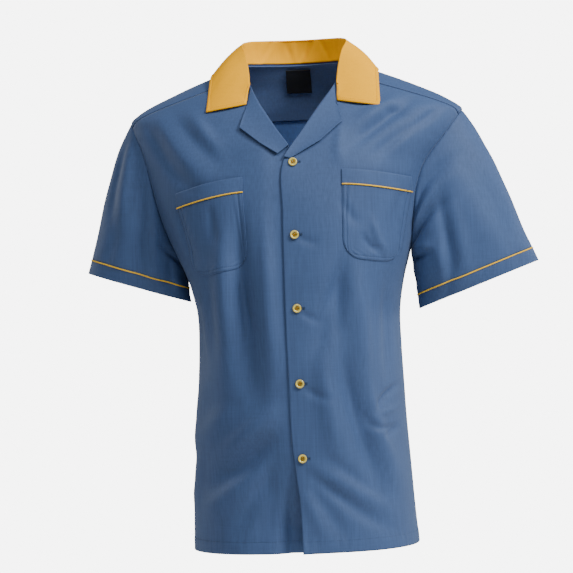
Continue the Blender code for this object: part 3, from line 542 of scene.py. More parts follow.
def makeBack():
    halves = []
    for side in (-1, 1):
        hole = form["armhole"][side]
        pit = hole["middle"] - hole["half"]
        lowCount = back["rows"] - back["upperRows"]
        turns = np.linspace(0.5, yokeTurn(side), back["upperRows"] + 1)[1:]
        angleHigh, zHigh = armhole(side, turns)
        low = np.linspace(torsoRows[0, 0], pit, lowCount)
        zOut = np.concatenate([low, zHigh])
        angleOut = np.concatenate([np.full(lowCount, side * np.pi / 2), angleHigh])
        zMid = np.concatenate([np.linspace(torsoRows[0, 0], -0.300, lowCount),
                               np.linspace(-0.300, form["yokeBack"], back["upperRows"] + 1)[1:]])
        q = np.linspace(0, 1, back["columns"])[None, :] ** 0.92
        angle = side * (np.pi - q * (np.pi - np.abs(angleOut))[:, None])
        z = zMid[:, None] + (zOut - zMid)[:, None] * q**2
        halves.append((angle, z))
    angle = np.concatenate([halves[1][0][:, ::-1], halves[0][0][:, 1:]], axis=1)
    z = np.concatenate([halves[1][1][:, ::-1], halves[0][1][:, 1:]], axis=1)
    grid = torso(angle, z)
    across, rise = walked(grid, 1), walked(grid, 0)
    h = seamShape(np.minimum(np.minimum(across, across[:, -1:] - across), rise[-1:] - rise))
    grid = grid + outward(angle, z) * (h + hemShape(rise, across))[..., None]
    ob = meshFrom("backPanel", grid, wall=form["cloth"], uv=lengthUv(grid))
    finish(ob, blueTwill, "back")
    # the inner face of the wall takes the brightened copy of the cloth: painted light inside the back
    ob.data.materials.append(blueInsidePaintedLight)
    ob.modifiers["wall"].material_offset = 1
    return ob


def yokeHalf(side):
    hole = form["armhole"][side]
    turns = np.linspace(hole["seam"], yokeTurn(side) - 1, back["sideColumns"] + 1)
    angleSide, zSide = armhole(side, turns)
    angleBack, zBack = yokeSeam(side, np.linspace(1, 0, back["columns"])[1:])
    angleOut, zOut = np.concatenate([angleSide, angleBack]), np.concatenate([zSide, zBack])
    share = np.linspace(0, 1, len(zOut)) ** 0.9
    angleIn = side * np.radians(neckRows[0, 0] + (180 - neckRows[0, 0]) * share)
    return angleIn, smoothColumns(neckRows, np.degrees(np.abs(angleIn)))[:, 0], angleOut, zOut


def yokeMap():
    sides = [yokeHalf(side) for side in (1, -1)]
    joined = [np.concatenate([a, b[::-1][1:]]) for a, b in zip(*sides)]
    joined[0][len(sides[0][0]):] += 2 * np.pi
    joined[2][len(sides[0][0]):] += 2 * np.pi
    s = np.linspace(0, 1, back["yokeRows"])[:, None]
    return joined[0] + (joined[2] - joined[0]) * s, joined[1] + (joined[3] - joined[1]) * s


backPiece = makeBack()
yokeAngle, yokeZ = yokeMap()
yokeGrid = torso(yokeAngle, yokeZ)
yokeEdge = walked(yokeGrid, 0)[-1:] - walked(yokeGrid, 0)
yokeGrid = torso(yokeAngle, yokeZ, lift=0.0004 + seamShape(yokeEdge))
yokePiece = finish(meshFrom("yokeOutside", yokeGrid, flip=True, wall=form["cloth"], uv=lengthUv(yokeGrid)),
                   blueTwill, "yoke_outside")
insideShare = np.clip(2.6 - 3.6 * np.abs(np.linspace(-1, 1, yokeZ.shape[1])), 0, 1)
reach = 0.45 + 0.55 * insideShare
insideS = np.linspace(0, 1, back["yokeRows"])[:, None] * reach
insideAngle = yokeAngle[0] + (yokeAngle[-1] - yokeAngle[0]) * insideS
insideZ = yokeZ[0] + (yokeZ[-1] - yokeZ[0]) * insideS
insideGrid = torso(insideAngle, insideZ, lift=np.full(insideZ.shape, -0.0022))
# the inner yoke takes the brightened copy of the cloth: painted light down the neck
yokeInside = finish(meshFrom("yokeInside", insideGrid, flip=True, wall=form["cloth"], uv=lengthUv(insideGrid)),
                    blueYokePaintedLight, "yoke_inside")
print("back and yoke made")

# sleeves
sleeve = {
    "cuff": {-1: dict(outer=(-0.3340, -0.3140), inner=(-0.1745, -0.3640), depth=0.050),
             1: dict(outer=(0.3650, -0.3190), inner=(0.1790, -0.3870), depth=0.041)},
    "bandDeep": 0.0215, "head": 0.0075, "rows": 104, "columns": 184, "bandRows": 16,
    "cut": {1: (0.46, 0.22, 0.081, 0.44, 0.020), -1: (0.42, 0.18, 0.057, 0.385, 0.0175)},
    # folds: turn and share at both ends, half width in metres, height; turn 0.25 is the front
    "folds": {
        1: [(0.43, 0.02, 0.18, 0.34, 0.0085, -0.0082), (0.39, 0.02, 0.13, 0.26, 0.0085, 0.0046),
            (0.34, 0.02, 0.10, 0.16, 0.0070, -0.0030), (0.47, 0.12, 0.32, 0.50, 0.0080, -0.0040),
            (0.42, 0.10, 0.30, 0.48, 0.0085, 0.0036), (0.22, 0.22, 0.33, 1.05, 0.0095, -0.0052),
            (0.18, 0.16, 0.27, 1.00, 0.0110, 0.0034),
            (0.16, 0.04, 0.17, 0.80, 0.0160, 0.0036), (0.10, 0.30, 0.12, 1.00, 0.0140, -0.0028),
            (0.30, 0.40, 0.31, 1.05, 0.0130, 0.0034), (0.56, 0.02, 0.80, 0.45, 0.0100, -0.0046),
            (0.60, 0.02, 0.86, 0.36, 0.0100, 0.0036), (0.78, 0.10, 0.75, 0.90, 0.0150, -0.0040),
            (0.84, 0.10, 0.83, 1.00, 0.0150, 0.0034)],
        -1: [(0.06, 0.02, 0.11, 0.70, 0.0120, -0.0040), (0.10, 0.02, 0.16, 0.62, 0.0130, 0.0036),
             (0.20, 0.02, 0.24, 0.90, 0.0130, -0.0048), (0.28, 0.06, 0.30, 1.00, 0.0120, 0.0036),
             (0.40, 0.02, 0.28, 0.40, 0.0090, -0.0040), (0.36, 0.10, 0.36, 1.00, 0.0120, -0.0040),
             (0.14, 0.55, 0.13, 1.00, 0.0120, -0.0024), (0.56, 0.02, 0.80, 0.45, 0.0100, -0.0046),
             (0.60, 0.02, 0.86, 0.36, 0.0100, 0.0036), (0.78, 0.10, 0.75, 0.90, 0.0150, -0.0040),
             (0.86, 0.10, 0.84, 1.00, 0.0150, 0.0034)]},
}


def gridNormals(grid, ring=False):
    # cross product of the steps along the columns and along the rows
    if ring:
        across = np.roll(grid, -1, axis=1) - np.roll(grid, 1, axis=1)
    else:
        across = np.gradient(grid, axis=1)
    n = np.cross(across, np.gradient(grid, axis=0))
    return n / np.maximum(np.linalg.norm(n, axis=-1, keepdims=True), 1e-12)


def bandStart(side, turns):
    # the share of each straight line at which a band of even depth begins
    cuff = sleeve["cuff"][side]
    outer, inner = np.array(cuff["outer"]), np.array(cuff["inner"])
    c = np.cos(2 * np.pi * turns)
    foot = (outer + inner) / 2 + (outer - inner) / 2 * c[:, None]
    head = torso(*armhole(side, turns))
    return 1 - sleeve["bandDeep"] / np.maximum(np.hypot(foot[:, 0] - head[:, 0], foot[:, 1] - head[:, 2]), 0.046)


def sleeveSurface(side, s, turns):
    # straight lines from the armhole loop to the ellipse of the cuff, rounded at the head,
    # with the sleeve's own folds moved out along the normal
    cuff = sleeve["cuff"][side]
    angle, z = armhole(side, turns)
    start = torso(angle, z)
    outer, inner = np.array(cuff["outer"]), np.array(cuff["inner"])
    c, sn = np.cos(2 * np.pi * turns), np.sin(2 * np.pi * turns)
    middle, half = (outer + inner) / 2, (outer - inner) / 2
    end = np.stack([middle[0] + half[0] * c, -cuff["depth"] * sn, middle[1] + half[1] * c], -1)
    s = s[..., None]
    points = start + (end - start) * s
    head = sleeve["head"] * 6.75 * s * (1 - s) ** 2 * np.clip(c, 0, 1)[None, :, None] ** 2
    points[..., 0:1] += side * head
    points[..., 2:3] += 0.4 * head
    points[..., 1:2] -= 0.010 * np.sin(np.pi * s) * sn[None, :, None]
    share = s[..., 0]
    around = 0.55 * (1 - share) + 0.43 * share      # metres round the tube
    long = 0.20
    h = np.zeros(points.shape[:2])
    for t0, s0, t1, s1, wide, height in sleeve["folds"][side]:
        ax, ay = (t1 - t0) * 0.48, (s1 - s0) * long
        span = math.hypot(ax, ay)
        near = (turns[None, :] - t0 + 0.5) % 1.0 - 0.5
        px, py = near * around, (share - s0) * long
        t = (px * ax + py * ay) / span**2
        d = (px * ay - py * ax) / span / wide
        end = np.clip(2.2 * (0.5 - np.abs(t - 0.5)) + 0.15, 0, 1)
        h += height * np.exp(-d * d) * (1 + 0.35 * np.tanh(d)) * end * end * (3 - 2 * end)
    h += ripple(turns[None, :] * 0.45, share * long, 0.07, 0.0013, 11 + side)
    h *= np.clip(share / 0.06, 0, 1)
    n = gridNormals(points, ring=True) * side
    return points + n * h[..., None]


def makeSleeve(side, word):
    turns = np.linspace(0, 1, sleeve["columns"], endpoint=False)
    begin = bandStart(side, turns)[None, :]
    upper = np.concatenate([np.linspace(0, 0.13, 26)[:-1], np.linspace(0.13, 1, sleeve["rows"] - 25)])
    upper = upper[:, None] * (begin - 0.0015)
    lower = begin + 0.0015 + (1 - begin - 0.0015) * np.linspace(0, 1, sleeve["bandRows"])[:, None]
    grid = sleeveSurface(side, np.concatenate([upper, lower]), turns)
    body, band = grid[:len(upper)], grid[len(upper):]
    n = gridNormals(grid, ring=True) * side
    head, foot = walked(body, 0), walked(body, 0)[-1:] - walked(body, 0)
    h = -0.0006 * np.exp(-(head / 0.0022) ** 2) - 0.0006 * np.exp(-(foot / 0.0015) ** 2)
    body = body + n[:len(upper)] * h[..., None]       # turned in at both seams
    inside = outward(*armhole(side, turns))
    turned = body[0] - inside * np.array([0.010, 0.006, 0.0025])[:, None, None]
    body = np.concatenate([turned, body])             # the turnings close the armhole from inside
    tube = meshFrom("sleeve" + word.title(), body, ring=True, flip=side < 0, wall=form["cloth"])
    finish(tube, blueTwill, "sleeve_" + word)
    cuffBand = meshFrom("cuffBand" + word.title(), band, ring=True, flip=side < 0, wall=form["cloth"] * 1.6)
    finish(cuffBand, blueTwill, "cuff_band_" + word)
    line = (body[-1] + band[0]) / 2 + n[len(upper)] * 0.0005
    return line, n[len(upper)], grid, n


def roundCord(name, line, closed, radius, look, node, sides=10):
    # a circle of the given radius carried along a line, square to it at each point
    if closed:
        tangent = np.roll(line, -1, axis=0) - np.roll(line, 1, axis=0)
    else:
        tangent = np.gradient(line, axis=0)
    tangent /= np.linalg.norm(tangent, axis=1, keepdims=True)
    reference = np.where(np.abs(tangent[:, 1:2]) < 0.9, np.array([[0.0, 1.0, 0.0]]), np.array([[1.0, 0, 0]]))
    a = np.cross(tangent, reference)
    a /= np.linalg.norm(a, axis=1, keepdims=True)
    b = np.cross(tangent, a)
    turn = np.linspace(0, 2 * np.pi, sides, endpoint=False)
    size = np.full(len(line), radius)
    points = line
    if not closed:
        points = np.concatenate([line[:1], line, line[-1:]])
        size = np.concatenate([[1e-5], size, [1e-5]])
        a, b = np.concatenate([a[:1], a, a[-1:]]), np.concatenate([b[:1], b, b[-1:]])
    grid = (points[:, None] + size[:, None, None] * (a[:, None] * np.cos(turn)[None, :, None]
                                                     + b[:, None] * np.sin(turn)[None, :, None]))
    if closed:
        grid = np.concatenate([grid, grid[:1]])
    ob = meshFrom(name, grid, ring=True, flip=True)
    return finish(ob, look, node)


sleeveGrids = {}
for side, word in ((1, "left"), (-1, "right")):
    line, lineNormal, sleeveGrid, sleeveNormal = makeSleeve(side, word)
    sleeveGrids[side] = (sleeveGrid, sleeveNormal)
    roundCord("cuffPiping" + word.title(), line, True, 0.0010, yellowPiping, "cuff_piping_" + word)
print("sleeves made")

# pockets
pocket = {
    -1: dict(top=(-0.1790, -0.1985), topX=(-0.0765, -0.1800), footX=(-0.0715, -0.1600),
             foot=(-0.3150, -0.3290), band=0.023, cut=(0.102, 0.130), bandCut=(0.102, 0.029)),
    1: dict(top=(-0.1725, -0.1855), topX=(0.0725, 0.1745), footX=(0.0710, 0.1545),
            foot=(-0.3070, -0.3160), band=0.023, cut=(0.108, 0.132), bandCut=(0.108, 0.030)),
    "lift": 0.0016, "rows": 90, "columns": 80, "bandRows": 18,
}


def pocketPlan(side, u, v):
    # x and z in the front view; sides run straight, the foot is rounded at both corners
    p = pocket[side]
    middle = 2 * u - 1
    left = p["topX"][0] + (p["footX"][0] - p["topX"][0]) * v
    right = p["topX"][1] + (p["footX"][1] - p["topX"][1]) * v
    tuck = 0.085 * np.clip((v - 0.80) / 0.20, 0, 1) ** 2.5
    x = left + (right - left) * (u + tuck * -middle)
    top = p["top"][0] + (p["top"][1] - p["top"][0]) * u**1.3 - p["band"]
    foot = p["foot"][0] + (p["foot"][1] - p["foot"][0]) * u + 0.012 * np.abs(middle) ** 5
    return x, top + (foot - top) * v


def onFront(x, z, lift):
    angle = angleAt(x, z)
    return torso(angle, z, lift=lift), outward(angle, z)


def makePocket(side, word):
    p = pocket[side]
    u = evenTo(pocket["columns"], 0.11)[None, :]
    v = np.linspace(0, 1, pocket["rows"])[:, None] ** 0.85
    x, z = pocketPlan(side, u, v)
    edge = np.minimum(np.minimum(u, 1 - u) * 0.100, (1 - v) * 0.125)
    rows = (np.exp(-((edge - 0.0016) / 0.0008) ** 2) + np.exp(-((edge - 0.0070) / 0.0009) ** 2))
    lift = pocket["lift"] - 0.0009 * np.exp(-edge / 0.0008) - 0.0005 * rows
    lift = lift + 0.00025 * np.sin(edge / 0.0016 + 40 * u * v) * np.exp(-((edge - 0.010) / 0.006) ** 2)
    sag = 0.0034 * np.sin(np.pi * u) * np.clip(1 - v / 0.5, 0, 1) ** 2
    grid, n = onFront(x, z, lift + sag)
    patch = meshFrom("pocket" + word.title(), grid, flip=side > 0, wall=0.0009, uv=lengthUv(grid))
    finish(patch, blueTwill, "pocket_" + word)
    rise = np.linspace(1, 0, pocket["bandRows"])[:, None] * p["band"]
    bandX = p["topX"][0] + (p["topX"][1] - p["topX"][0]) * u + 0 * rise
    bandZ = z[0][None, :] + rise
    rimUp = np.minimum(rise, p["band"] - rise)
    bandLift = pocket["lift"] + 0.0034 * np.sin(np.pi * u) + 0.0004 - 0.0004 * np.exp(-rimUp / 0.0010)
    bandGrid, bandNormal = onFront(bandX, bandZ, bandLift)
    band = meshFrom("pocketBand" + word.title(), bandGrid, flip=side > 0, wall=0.0012, uv=lengthUv(bandGrid))
    finish(band, blueTwill, "pocket_band_" + word)
    roundCord("pocketPiping" + word.title(), grid[0] + n[0] * 0.0008, False, 0.0010, yellowPiping,
              "pocket_piping_" + word)
    return grid, n, bandGrid, bandNormal


pocketGrids = {side: makePocket(side, word) for side, word in ((1, "left"), (-1, "right"))}
print("pockets made")

# lapels and collar
lapel = {
    "outline": {
        -1: [(-0.0685, -0.0670), (-0.0800, -0.1050), (-0.0480, -0.1305), (-0.0225, -0.1465)],
        1: [(0.0650, -0.0656), (0.0750, -0.1000), (0.0420, -0.1285), (-0.0040, -0.1540)]},
    "foot": {-1: -0.134, 1: -0.152}, "gorge": -0.0385, "rows": 70, "columns": 46, "roll": 0.0034,
}
collarForm = {
    # share of the way from the gorge to the centre back, fold line x y z, outer edge x y z
    "lines": [
        (0.00, 0.0660, -0.0655, -0.0385, 0.1330, -0.0820, -0.0760),
        (0.12, 0.0675, -0.0460, -0.0130, 0.1315, -0.0600, -0.0530),
        (0.25, 0.0730, -0.0260, 0.0150, 0.1300, -0.0310, -0.0240),
        (0.40, 0.0800, 0.0000, 0.0330, 0.1290, 0.0080, -0.0145),
        (0.55, 0.0735, 0.0270, 0.0400, 0.1150, 0.0430, -0.0135),
        (0.72, 0.0520, 0.0490, 0.0425, 0.0790, 0.0720, -0.0110),
        (0.86, 0.0270, 0.0600, 0.0430, 0.0400, 0.0850, -0.0080),
        (1.00, 0.0000, 0.0640, 0.0430, 0.0000, 0.0890, -0.0070)],
    "notch": {1: (0.0672, -0.0835, -0.0655), -1: (-0.0708, -0.0835, -0.0665)},
    "columns": 96, "standRows": 18, "fallRows": 54, "stitch": 0.0062, "bend": 0.0036, "bendRows": 7,
    # soft wrinkles across the back: x, half width, height, slant
    "wrinkles": [(-0.050, 0.0035, -0.0013, 0.5), (-0.042, 0.0040, 0.0010, 0.5), (-0.012, 0.0040, -0.0010, -0.3),
                 (0.012, 0.0035, -0.0014, 0.6), (0.020, 0.0045, 0.0010, 0.6), (0.046, 0.0040, -0.0012, -0.4)],
}


def along(points, shares):
    # points at shares of the length of an open line
    run = np.concatenate([[0], np.cumsum(np.linalg.norm(np.diff(points, axis=0), axis=1))])
    return np.stack([np.interp(np.asarray(shares) * run[-1], run, points[:, k])
                     for k in range(points.shape[1])], -1)


def makeLapel(side, word):
    # straight lines from the roll to the outline, lifted in a soft roll; the first columns turn
    # round the edge of the front to its inside
    rows, cols = lapel["rows"], lapel["columns"]
    rollZ = np.linspace(lapel["gorge"] - 0.001, lapel["foot"][side], rows)
    roll = np.stack([smoothColumns(edgeRows[side], rollZ)[:, 0], rollZ], -1)
    outline = table(lapel["outline"][side])
    knots = along(outline, np.linspace(0, 1, rows) ** 0.9)
    s = np.linspace(0, 1, cols)[None, :, None]
    flat = roll[:, None] + (knots - roll)[:, None] * s
    rim = np.minimum(np.minimum(1 - s[..., 0], 1.0) * cols, np.arange(rows)[:, None] + 0.0)
    rowShare = np.linspace(0, 1, rows)[:, None]
    lift = 0.0014 + lapel["roll"] * (1 - s[..., 0]) ** 1.6 * np.sqrt(np.clip(s[..., 0] / 0.06, 0, 1))
    lift = lift + 0.0034 * s[..., 0] ** 3 * np.sin(np.pi * rowShare) ** 0.7
    lift = lift + 0.0010 * s[..., 0] ** 2 * np.sin(9 * rowShare + side) * rowShare + 0 * rim
    grid, n = onFront(flat[..., 0], flat[..., 1], lift)
    inner = np.linspace(1, 0, 9)[:-1]
    tail, tailNormal = onFront(roll[:, None, 0] + side * 0.010 * inner[None, :] ** 1.5,
                               roll[:, None, 1] + 0 * inner[None, :],
                               -0.0020 * np.clip(inner[None, :] * 4, 0, 1) + 0 * rollZ[:, None])
    whole = np.concatenate([tail, grid], axis=1)
    ob = meshFrom("lapel" + word.title(), whole, flip=side < 0, wall=0.0012, uv=lengthUv(whole))
    ob.data.flip_normals()
    finish(ob, blueTwill, "lapel_" + word)
    return grid, n


def makeCollar():
    # three lines run round the neck: the seam, the fold and the outer edge; the stand is ruled
    # from seam to fold, a quadratic curve turns it over, the fall is a low arc from there to the
    # edge, and the front ends follow the notch
    half = []
    for side in (1, -1):
        angleIn, zIn, _, _ = yokeHalf(side)
        zLow = np.linspace(-0.041, neckRows[0, 1], 12)[:-1]
        xLow = smoothColumns(edgeRows[side], zLow)[:, 0]
        seam = np.concatenate([torso(angleAt(xLow, zLow), zLow), torso(angleIn, zIn)])
        share = np.linspace(0, 1, collarForm["columns"])
        seam = along(seam, share)
        lines = smoothColumns(table(collarForm["lines"]), share)
        mirror = np.array([side, 1, 1])
        half.append((seam, lines[:, :3] * mirror, lines[:, 3:] * mirror, share,
                     np.array(collarForm["notch"][side])))
    seam, fold, outer = (np.concatenate([half[0][k], half[1][k][::-1][1:]]) for k in range(3))
    share = np.concatenate([half[0][3], half[1][3][::-1][1:]])
    side = np.concatenate([np.ones(len(half[0][3])), -np.ones(len(half[1][3]) - 1)])
    inward = np.array([0.0, 0.010, 0.0]) - seam
    inward[:, 2] = 0
    inward /= np.linalg.norm(inward, axis=1, keepdims=True)
    seam = seam + inward * 0.0012 + np.array([0, 0, 0.0010])
    tuck = np.clip(1 - share / 0.10, 0, 1)[:, None] ** 2      # the stand's ends hide behind the fall
    seam = seam + tuck * (fold + np.stack([0.0022 * side, 0.0012 + 0 * side, -0.0040 + 0 * side], -1) - seam)
    bend = collarForm["bend"] * (0.35 + 0.65 * np.clip(share / 0.08, 0, 1))[:, None]
    rising, falling = fold - seam, outer - fold
    rising /= np.linalg.norm(rising, axis=1, keepdims=True)
    falling /= np.linalg.norm(falling, axis=1, keepdims=True)
    over, past = fold - rising * bend, fold + falling * bend
    rowsOut = []
    wave = ripple(np.cumsum(np.full(len(share), 0.004)), np.zeros(len(share)), 0.05, 0.0012, 21)
    for s in np.linspace(0, 1, collarForm["standRows"])[:-1]:
        belly = 0.0022 * np.sin(np.pi * s)
        rowsOut.append(seam + (over - seam) * s - inward * (belly + wave[:, None] * np.sin(np.pi * s)))
    for t in np.linspace(0, 1, collarForm["bendRows"])[:-1]:
        rowsOut.append((1 - t)**2 * over + 2 * t * (1 - t) * fold + t**2 * past)
    away = -inward * 0.55 + np.array([0, 0, 0.85])
    for s in np.linspace(0, 1, collarForm["fallRows"]):
        row = past + (outer - past) * s
        bulge = (0.0040 + 0.0070 * np.clip(share * 2 - 1, 0, 1)) * np.sin(np.pi * s)
        row = row + away * (bulge + wave * np.sin(np.pi * s) * 0.8)[:, None]
        for end, notch in ((0, half[0][4]), (-1, half[1][4])):
            edge = along(np.array([past[end], notch, outer[end]]), [s])[0]
            edge = edge - np.array([0, 0.004 * math.sin(math.pi * max(0.0, (s - 0.29) / 0.71)), 0])
            near = np.clip(1 - share / 0.12, 0, 1) ** 2 * (side == side[end])
            row = row + (edge - row[end]) * near[:, None]
        rowsOut.append(row)
    grid = np.array(rowsOut)
    n = -gridNormals(grid)
    outerSide, endSide = walked(grid, 0)[-1:] - walked(grid, 0), walked(grid, 1)
    endSide = np.minimum(endSide, endSide[:, -1:] - endSide)
    edge = np.minimum(outerSide, endSide)
    falls = np.clip((np.arange(len(grid)) - collarForm["standRows"] - collarForm["bendRows"]) / 6.0, 0, 1)[:, None]
    h = falls * (0.0006 / (1 + np.exp((edge - collarForm["stitch"]) / 0.0010)) - 0.0005 * np.exp(-(edge / 0.0010) ** 2)
         - 0.0006 * np.exp(-((edge - collarForm["stitch"]) / 0.0010) ** 2)
         + ripple(np.cumsum(share * 0 + 0.0045), outerSide, 0.040, 0.0006, 31) * np.clip(edge / 0.02, 0, 1))
    stand = np.clip(1 - np.abs(np.arange(len(grid)) / collarForm["standRows"] - 0.5) * 2, 0, 1)[:, None] ** 0.6
    behind = np.clip(grid[..., 1] / 0.03, 0, 1)
    for place, wide, height, slant in collarForm["wrinkles"]:
        across = grid[..., 0] - place - slant * (grid[..., 2] - 0.020)
        h = h + height * np.exp(-(across / wide) ** 2) * (stand + 0.5 * falls) * behind
    grid = grid + n * h[..., None]
    ob = meshFrom("collarYellow", grid, flip=True, wall=0.0016, uv=lengthUv(grid))
    finish(ob, yellowTwill, "collar")
    return grid, n


lapelGrids = {side: makeLapel(side, word) for side, word in ((1, "left"), (-1, "right"))}
collarGrid, collarNormal = makeCollar()
print("collar and lapels made")

# buttons, label
button = {"radius": 0.0067, "thick": 0.0026, "hole": 0.00085, "spread": 0.0016, "rings": 46, "segments": 84}
buttonProfile = [
    # radius share, height share over the back face: dished centre, rounded rim, undercut
    (0.00, 0.62), (0.30, 0.60), (0.50, 0.60), (0.60, 0.72), (0.70, 0.93), (0.80, 1.00), (0.90, 0.95),
    (0.96, 0.82), (1.00, 0.60)]


def buttonFrame(number):
    # the centre of the button's node, and its flat face's own directions from its thinnest way
    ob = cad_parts["button_%d" % number]
    points = np.empty(len(ob.data.vertices) * 3)
    ob.data.vertices.foreach_get("co", points)
    points = points.reshape(-1, 3)
    centre = (points.min(0) + points.max(0)) / 2
    _, _, ways = np.linalg.svd(points - points.mean(0), full_matrices=False)
    face = ways[2] * (-1 if ways[2][1] > 0 else 1)
    across = np.cross([0, 0, 1.0], face)
    across /= np.linalg.norm(across)
    return centre, across, np.cross(face, across), face


def makeButton(number):
    # a profile turned about the face direction, pressed in by a smooth step at each of four holes,
    # then closed by the rim and a flat back
    centre, across, upward, face = buttonFrame(number)
    r = np.linspace(0, 1, button["rings"])[:, None] ** 0.9
    phi = np.linspace(0, 2 * np.pi, button["segments"], endpoint=False)[None, :]
    turned = phi + 0.35 * number
    x, y = button["radius"] * r * np.cos(phi), button["radius"] * r * np.sin(phi)
    height = smoothColumns(table(buttonProfile), r)[..., 0] * button["thick"] + 0 * phi
    ca, sa = math.cos(0.3 * number), math.sin(0.3 * number)
    for hx, hy in ((1, 1), (1, -1), (-1, 1), (-1, -1)):
        px = button["spread"] * (hx * ca - hy * sa)
        py = button["spread"] * (hx * sa + hy * ca)
        away = np.hypot(x - px, y - py) / button["hole"]
        height = height - 0.0014 / (1 + np.exp((away - 1) * 9))
    backR = np.array([1.0, 0.96, 0.5, 0.0])[:, None]
    backH = np.array([0.34, 0.06, 0.0, 0.0])[:, None] * button["thick"] + 0 * phi
    x = np.concatenate([x, button["radius"] * backR * np.cos(phi)])
    y = np.concatenate([y, button["radius"] * backR * np.sin(phi)])
    height = np.concatenate([height, backH]) - button["thick"] / 2
    grid = centre + x[..., None] * across + y[..., None] * upward + height[..., None] * face
    radiusShare = np.concatenate([r, backR]) + 0 * phi
    ob = meshFrom("shirtButton%d" % number, grid, ring=True, flip=True,
                  uv=np.stack([phi / (2 * np.pi) + 0 * radiusShare, radiusShare], -1))
    finish(ob, pearl, "button_%d" % number)
    holes = [centre + button["spread"] * ((hx * ca - hy * sa) * across + (hx * sa + hy * ca) * upward)
             for hx, hy in ((1, 1), (1, -1), (-1, 1), (-1, -1))]
    return centre, across, upward, face, holes


buttonPlaces = [makeButton(number) for number in range(1, 6)]
labelX = np.linspace(-0.020, 0.020, 41)[None, :]
labelZ = np.linspace(0.0, -0.036, 37)[:, None] - 0.0015
labelX, labelZ = np.broadcast_arrays(labelX, labelZ)
labelAngle = np.pi - np.arcsin(np.abs(labelX) / section(labelZ, 1)[0]) * np.sign(labelX)
labelGrid = torso(labelAngle, labelZ, lift=np.full(labelX.shape, -0.0052))
labelPiece = finish(meshFrom("neckLabel", labelGrid, flip=False, wall=0.0006, uv=lengthUv(labelGrid)),
                    labelSatin, "neck_label")
print("buttons and label made")

# rows of stitches
stitch = {"pitch": 0.0030, "long": 0.0023, "radius": 0.00021}


def stitchRow(line, normal, pitch=None, long=None, radius=None, spin=0.0):
    # each stitch is a five-sided thread whose height over the cloth arches by a sine from end to
    # end; spin turns a stitch away from the line, as in the close stitches of a buttonhole
    pitch, long = pitch or stitch["pitch"], long or stitch["long"]
    radius = radius or stitch["radius"]
    run = np.concatenate([[0], np.cumsum(np.linalg.norm(np.diff(line, axis=0), axis=1))])
    count = max(1, int(run[-1] / pitch))
    middle = (np.arange(count) + 0.5) * run[-1] / count

    def read(values, at):
        return np.stack([np.interp(at, run, values[:, k]) for k in range(3)], -1)

    centre, up = read(line, middle), read(normal, middle)
    up /= np.linalg.norm(up, axis=-1, keepdims=True)
    tangent = read(line, middle + 0.0005) - read(line, middle - 0.0005)
    tangent -= (tangent * up).sum(-1, keepdims=True) * up
    tangent /= np.linalg.norm(tangent, axis=-1, keepdims=True)
    side = np.cross(up, tangent)
    tangent, side = (tangent * math.cos(spin) + side * math.sin(spin),
                     side * math.cos(spin) - tangent * math.sin(spin))
    t = np.linspace(0, 1, 4)[None, :, None, None]
    turn = np.linspace(0, 2 * np.pi, 5, endpoint=False)[None, None, :, None]
    size = radius * np.sin(np.pi * (0.10 + 0.80 * t)) ** 0.5
    at = (centre[:, None, None] + tangent[:, None, None] * long * (t - 0.5)
          + up[:, None, None] * radius * (1.3 * np.sin(np.pi * t) - 0.6))
    return (at + size * (side[:, None, None] * np.cos(turn) + up[:, None, None] * np.sin(turn))).reshape(-1, 20, 3)


def stitchPiece(name, rows, look):
    # every stitch has three bands of five quads and a five-cornered cap at both ends
    points = np.concatenate(rows)
    base = np.arange(len(points))[:, None, None] * 20
    k, j = np.arange(3)[:, None], np.arange(5)[None, :]
    quad = np.stack([k * 5 + j, k * 5 + 5 + j, k * 5 + 5 + (j + 1) % 5, k * 5 + (j + 1) % 5], -1).reshape(1, 15, 4)
    quads = (base + quad).reshape(-1, 4)
    caps = (base[..., 0] + np.array([[0, 1, 2, 3, 4, 19, 18, 17, 16, 15]])).reshape(-1, 5)
    mesh = bpy.data.meshes.new(name)
    mesh.from_pydata(points.reshape(-1, 3), [], quads.tolist() + caps.tolist())
    mesh.polygons.foreach_set("use_smooth", np.ones(len(mesh.polygons), bool))
    ob = bpy.data.objects.new(name, mesh)
    bpy.context.scene.collection.objects.link(ob)
    return finish(ob, look, None)


def gridRead(grid, row, column):
    # points of a grid at rows and columns that need not be whole numbers
    row = np.clip(row, 0, grid.shape[0] - 1.001)
    column = np.clip(column, 0, grid.shape[1] - 1.001)
    i, j = row.astype(int), column.astype(int)
    a, b = (row - i)[:, None], (column - j)[:, None]
    return ((1 - a) * (1 - b) * grid[i, j] + a * (1 - b) * grid[i + 1, j]
            + (1 - a) * b * grid[i, j + 1] + a * b * grid[i + 1, j + 1])


def collarStitches():
    # down the front end, along the outer edge and up the other end, a fixed distance inside
    grid, n = collarGrid, collarNormal
    down = walked(grid, 0)[-1:] - walked(grid, 0)
    across = walked(grid, 1)
    first = collarForm["standRows"] + collarForm["bendRows"]
    inset = collarForm["stitch"]
    columns = np.arange(grid.shape[1])
    rowOf = np.array([np.interp(inset, down[::-1, j], np.arange(grid.shape[0])[::-1]) for j in columns])
    rowsAll = np.arange(first, grid.shape[0])
    colOf = np.array([np.interp(inset, across[i], columns) for i in rowsAll])
    endOf = np.array([np.interp(inset, (across[i, -1] - across[i])[::-1], columns[::-1]) for i in rowsAll])
    keepA = rowsAll < rowOf[int(colOf[-1])]
    keepB = rowsAll < rowOf[int(endOf[-1])]
    inside = (columns > colOf[-1]) & (columns < endOf[-1])
    row = np.concatenate([rowsAll[keepA], rowOf[inside], rowsAll[keepB][::-1]]).astype(float)
    column = np.concatenate([colOf[keepA], columns[inside], endOf[keepB][::-1]]).astype(float)
    return stitchRow(gridRead(grid, row, column), gridRead(n, row, column))


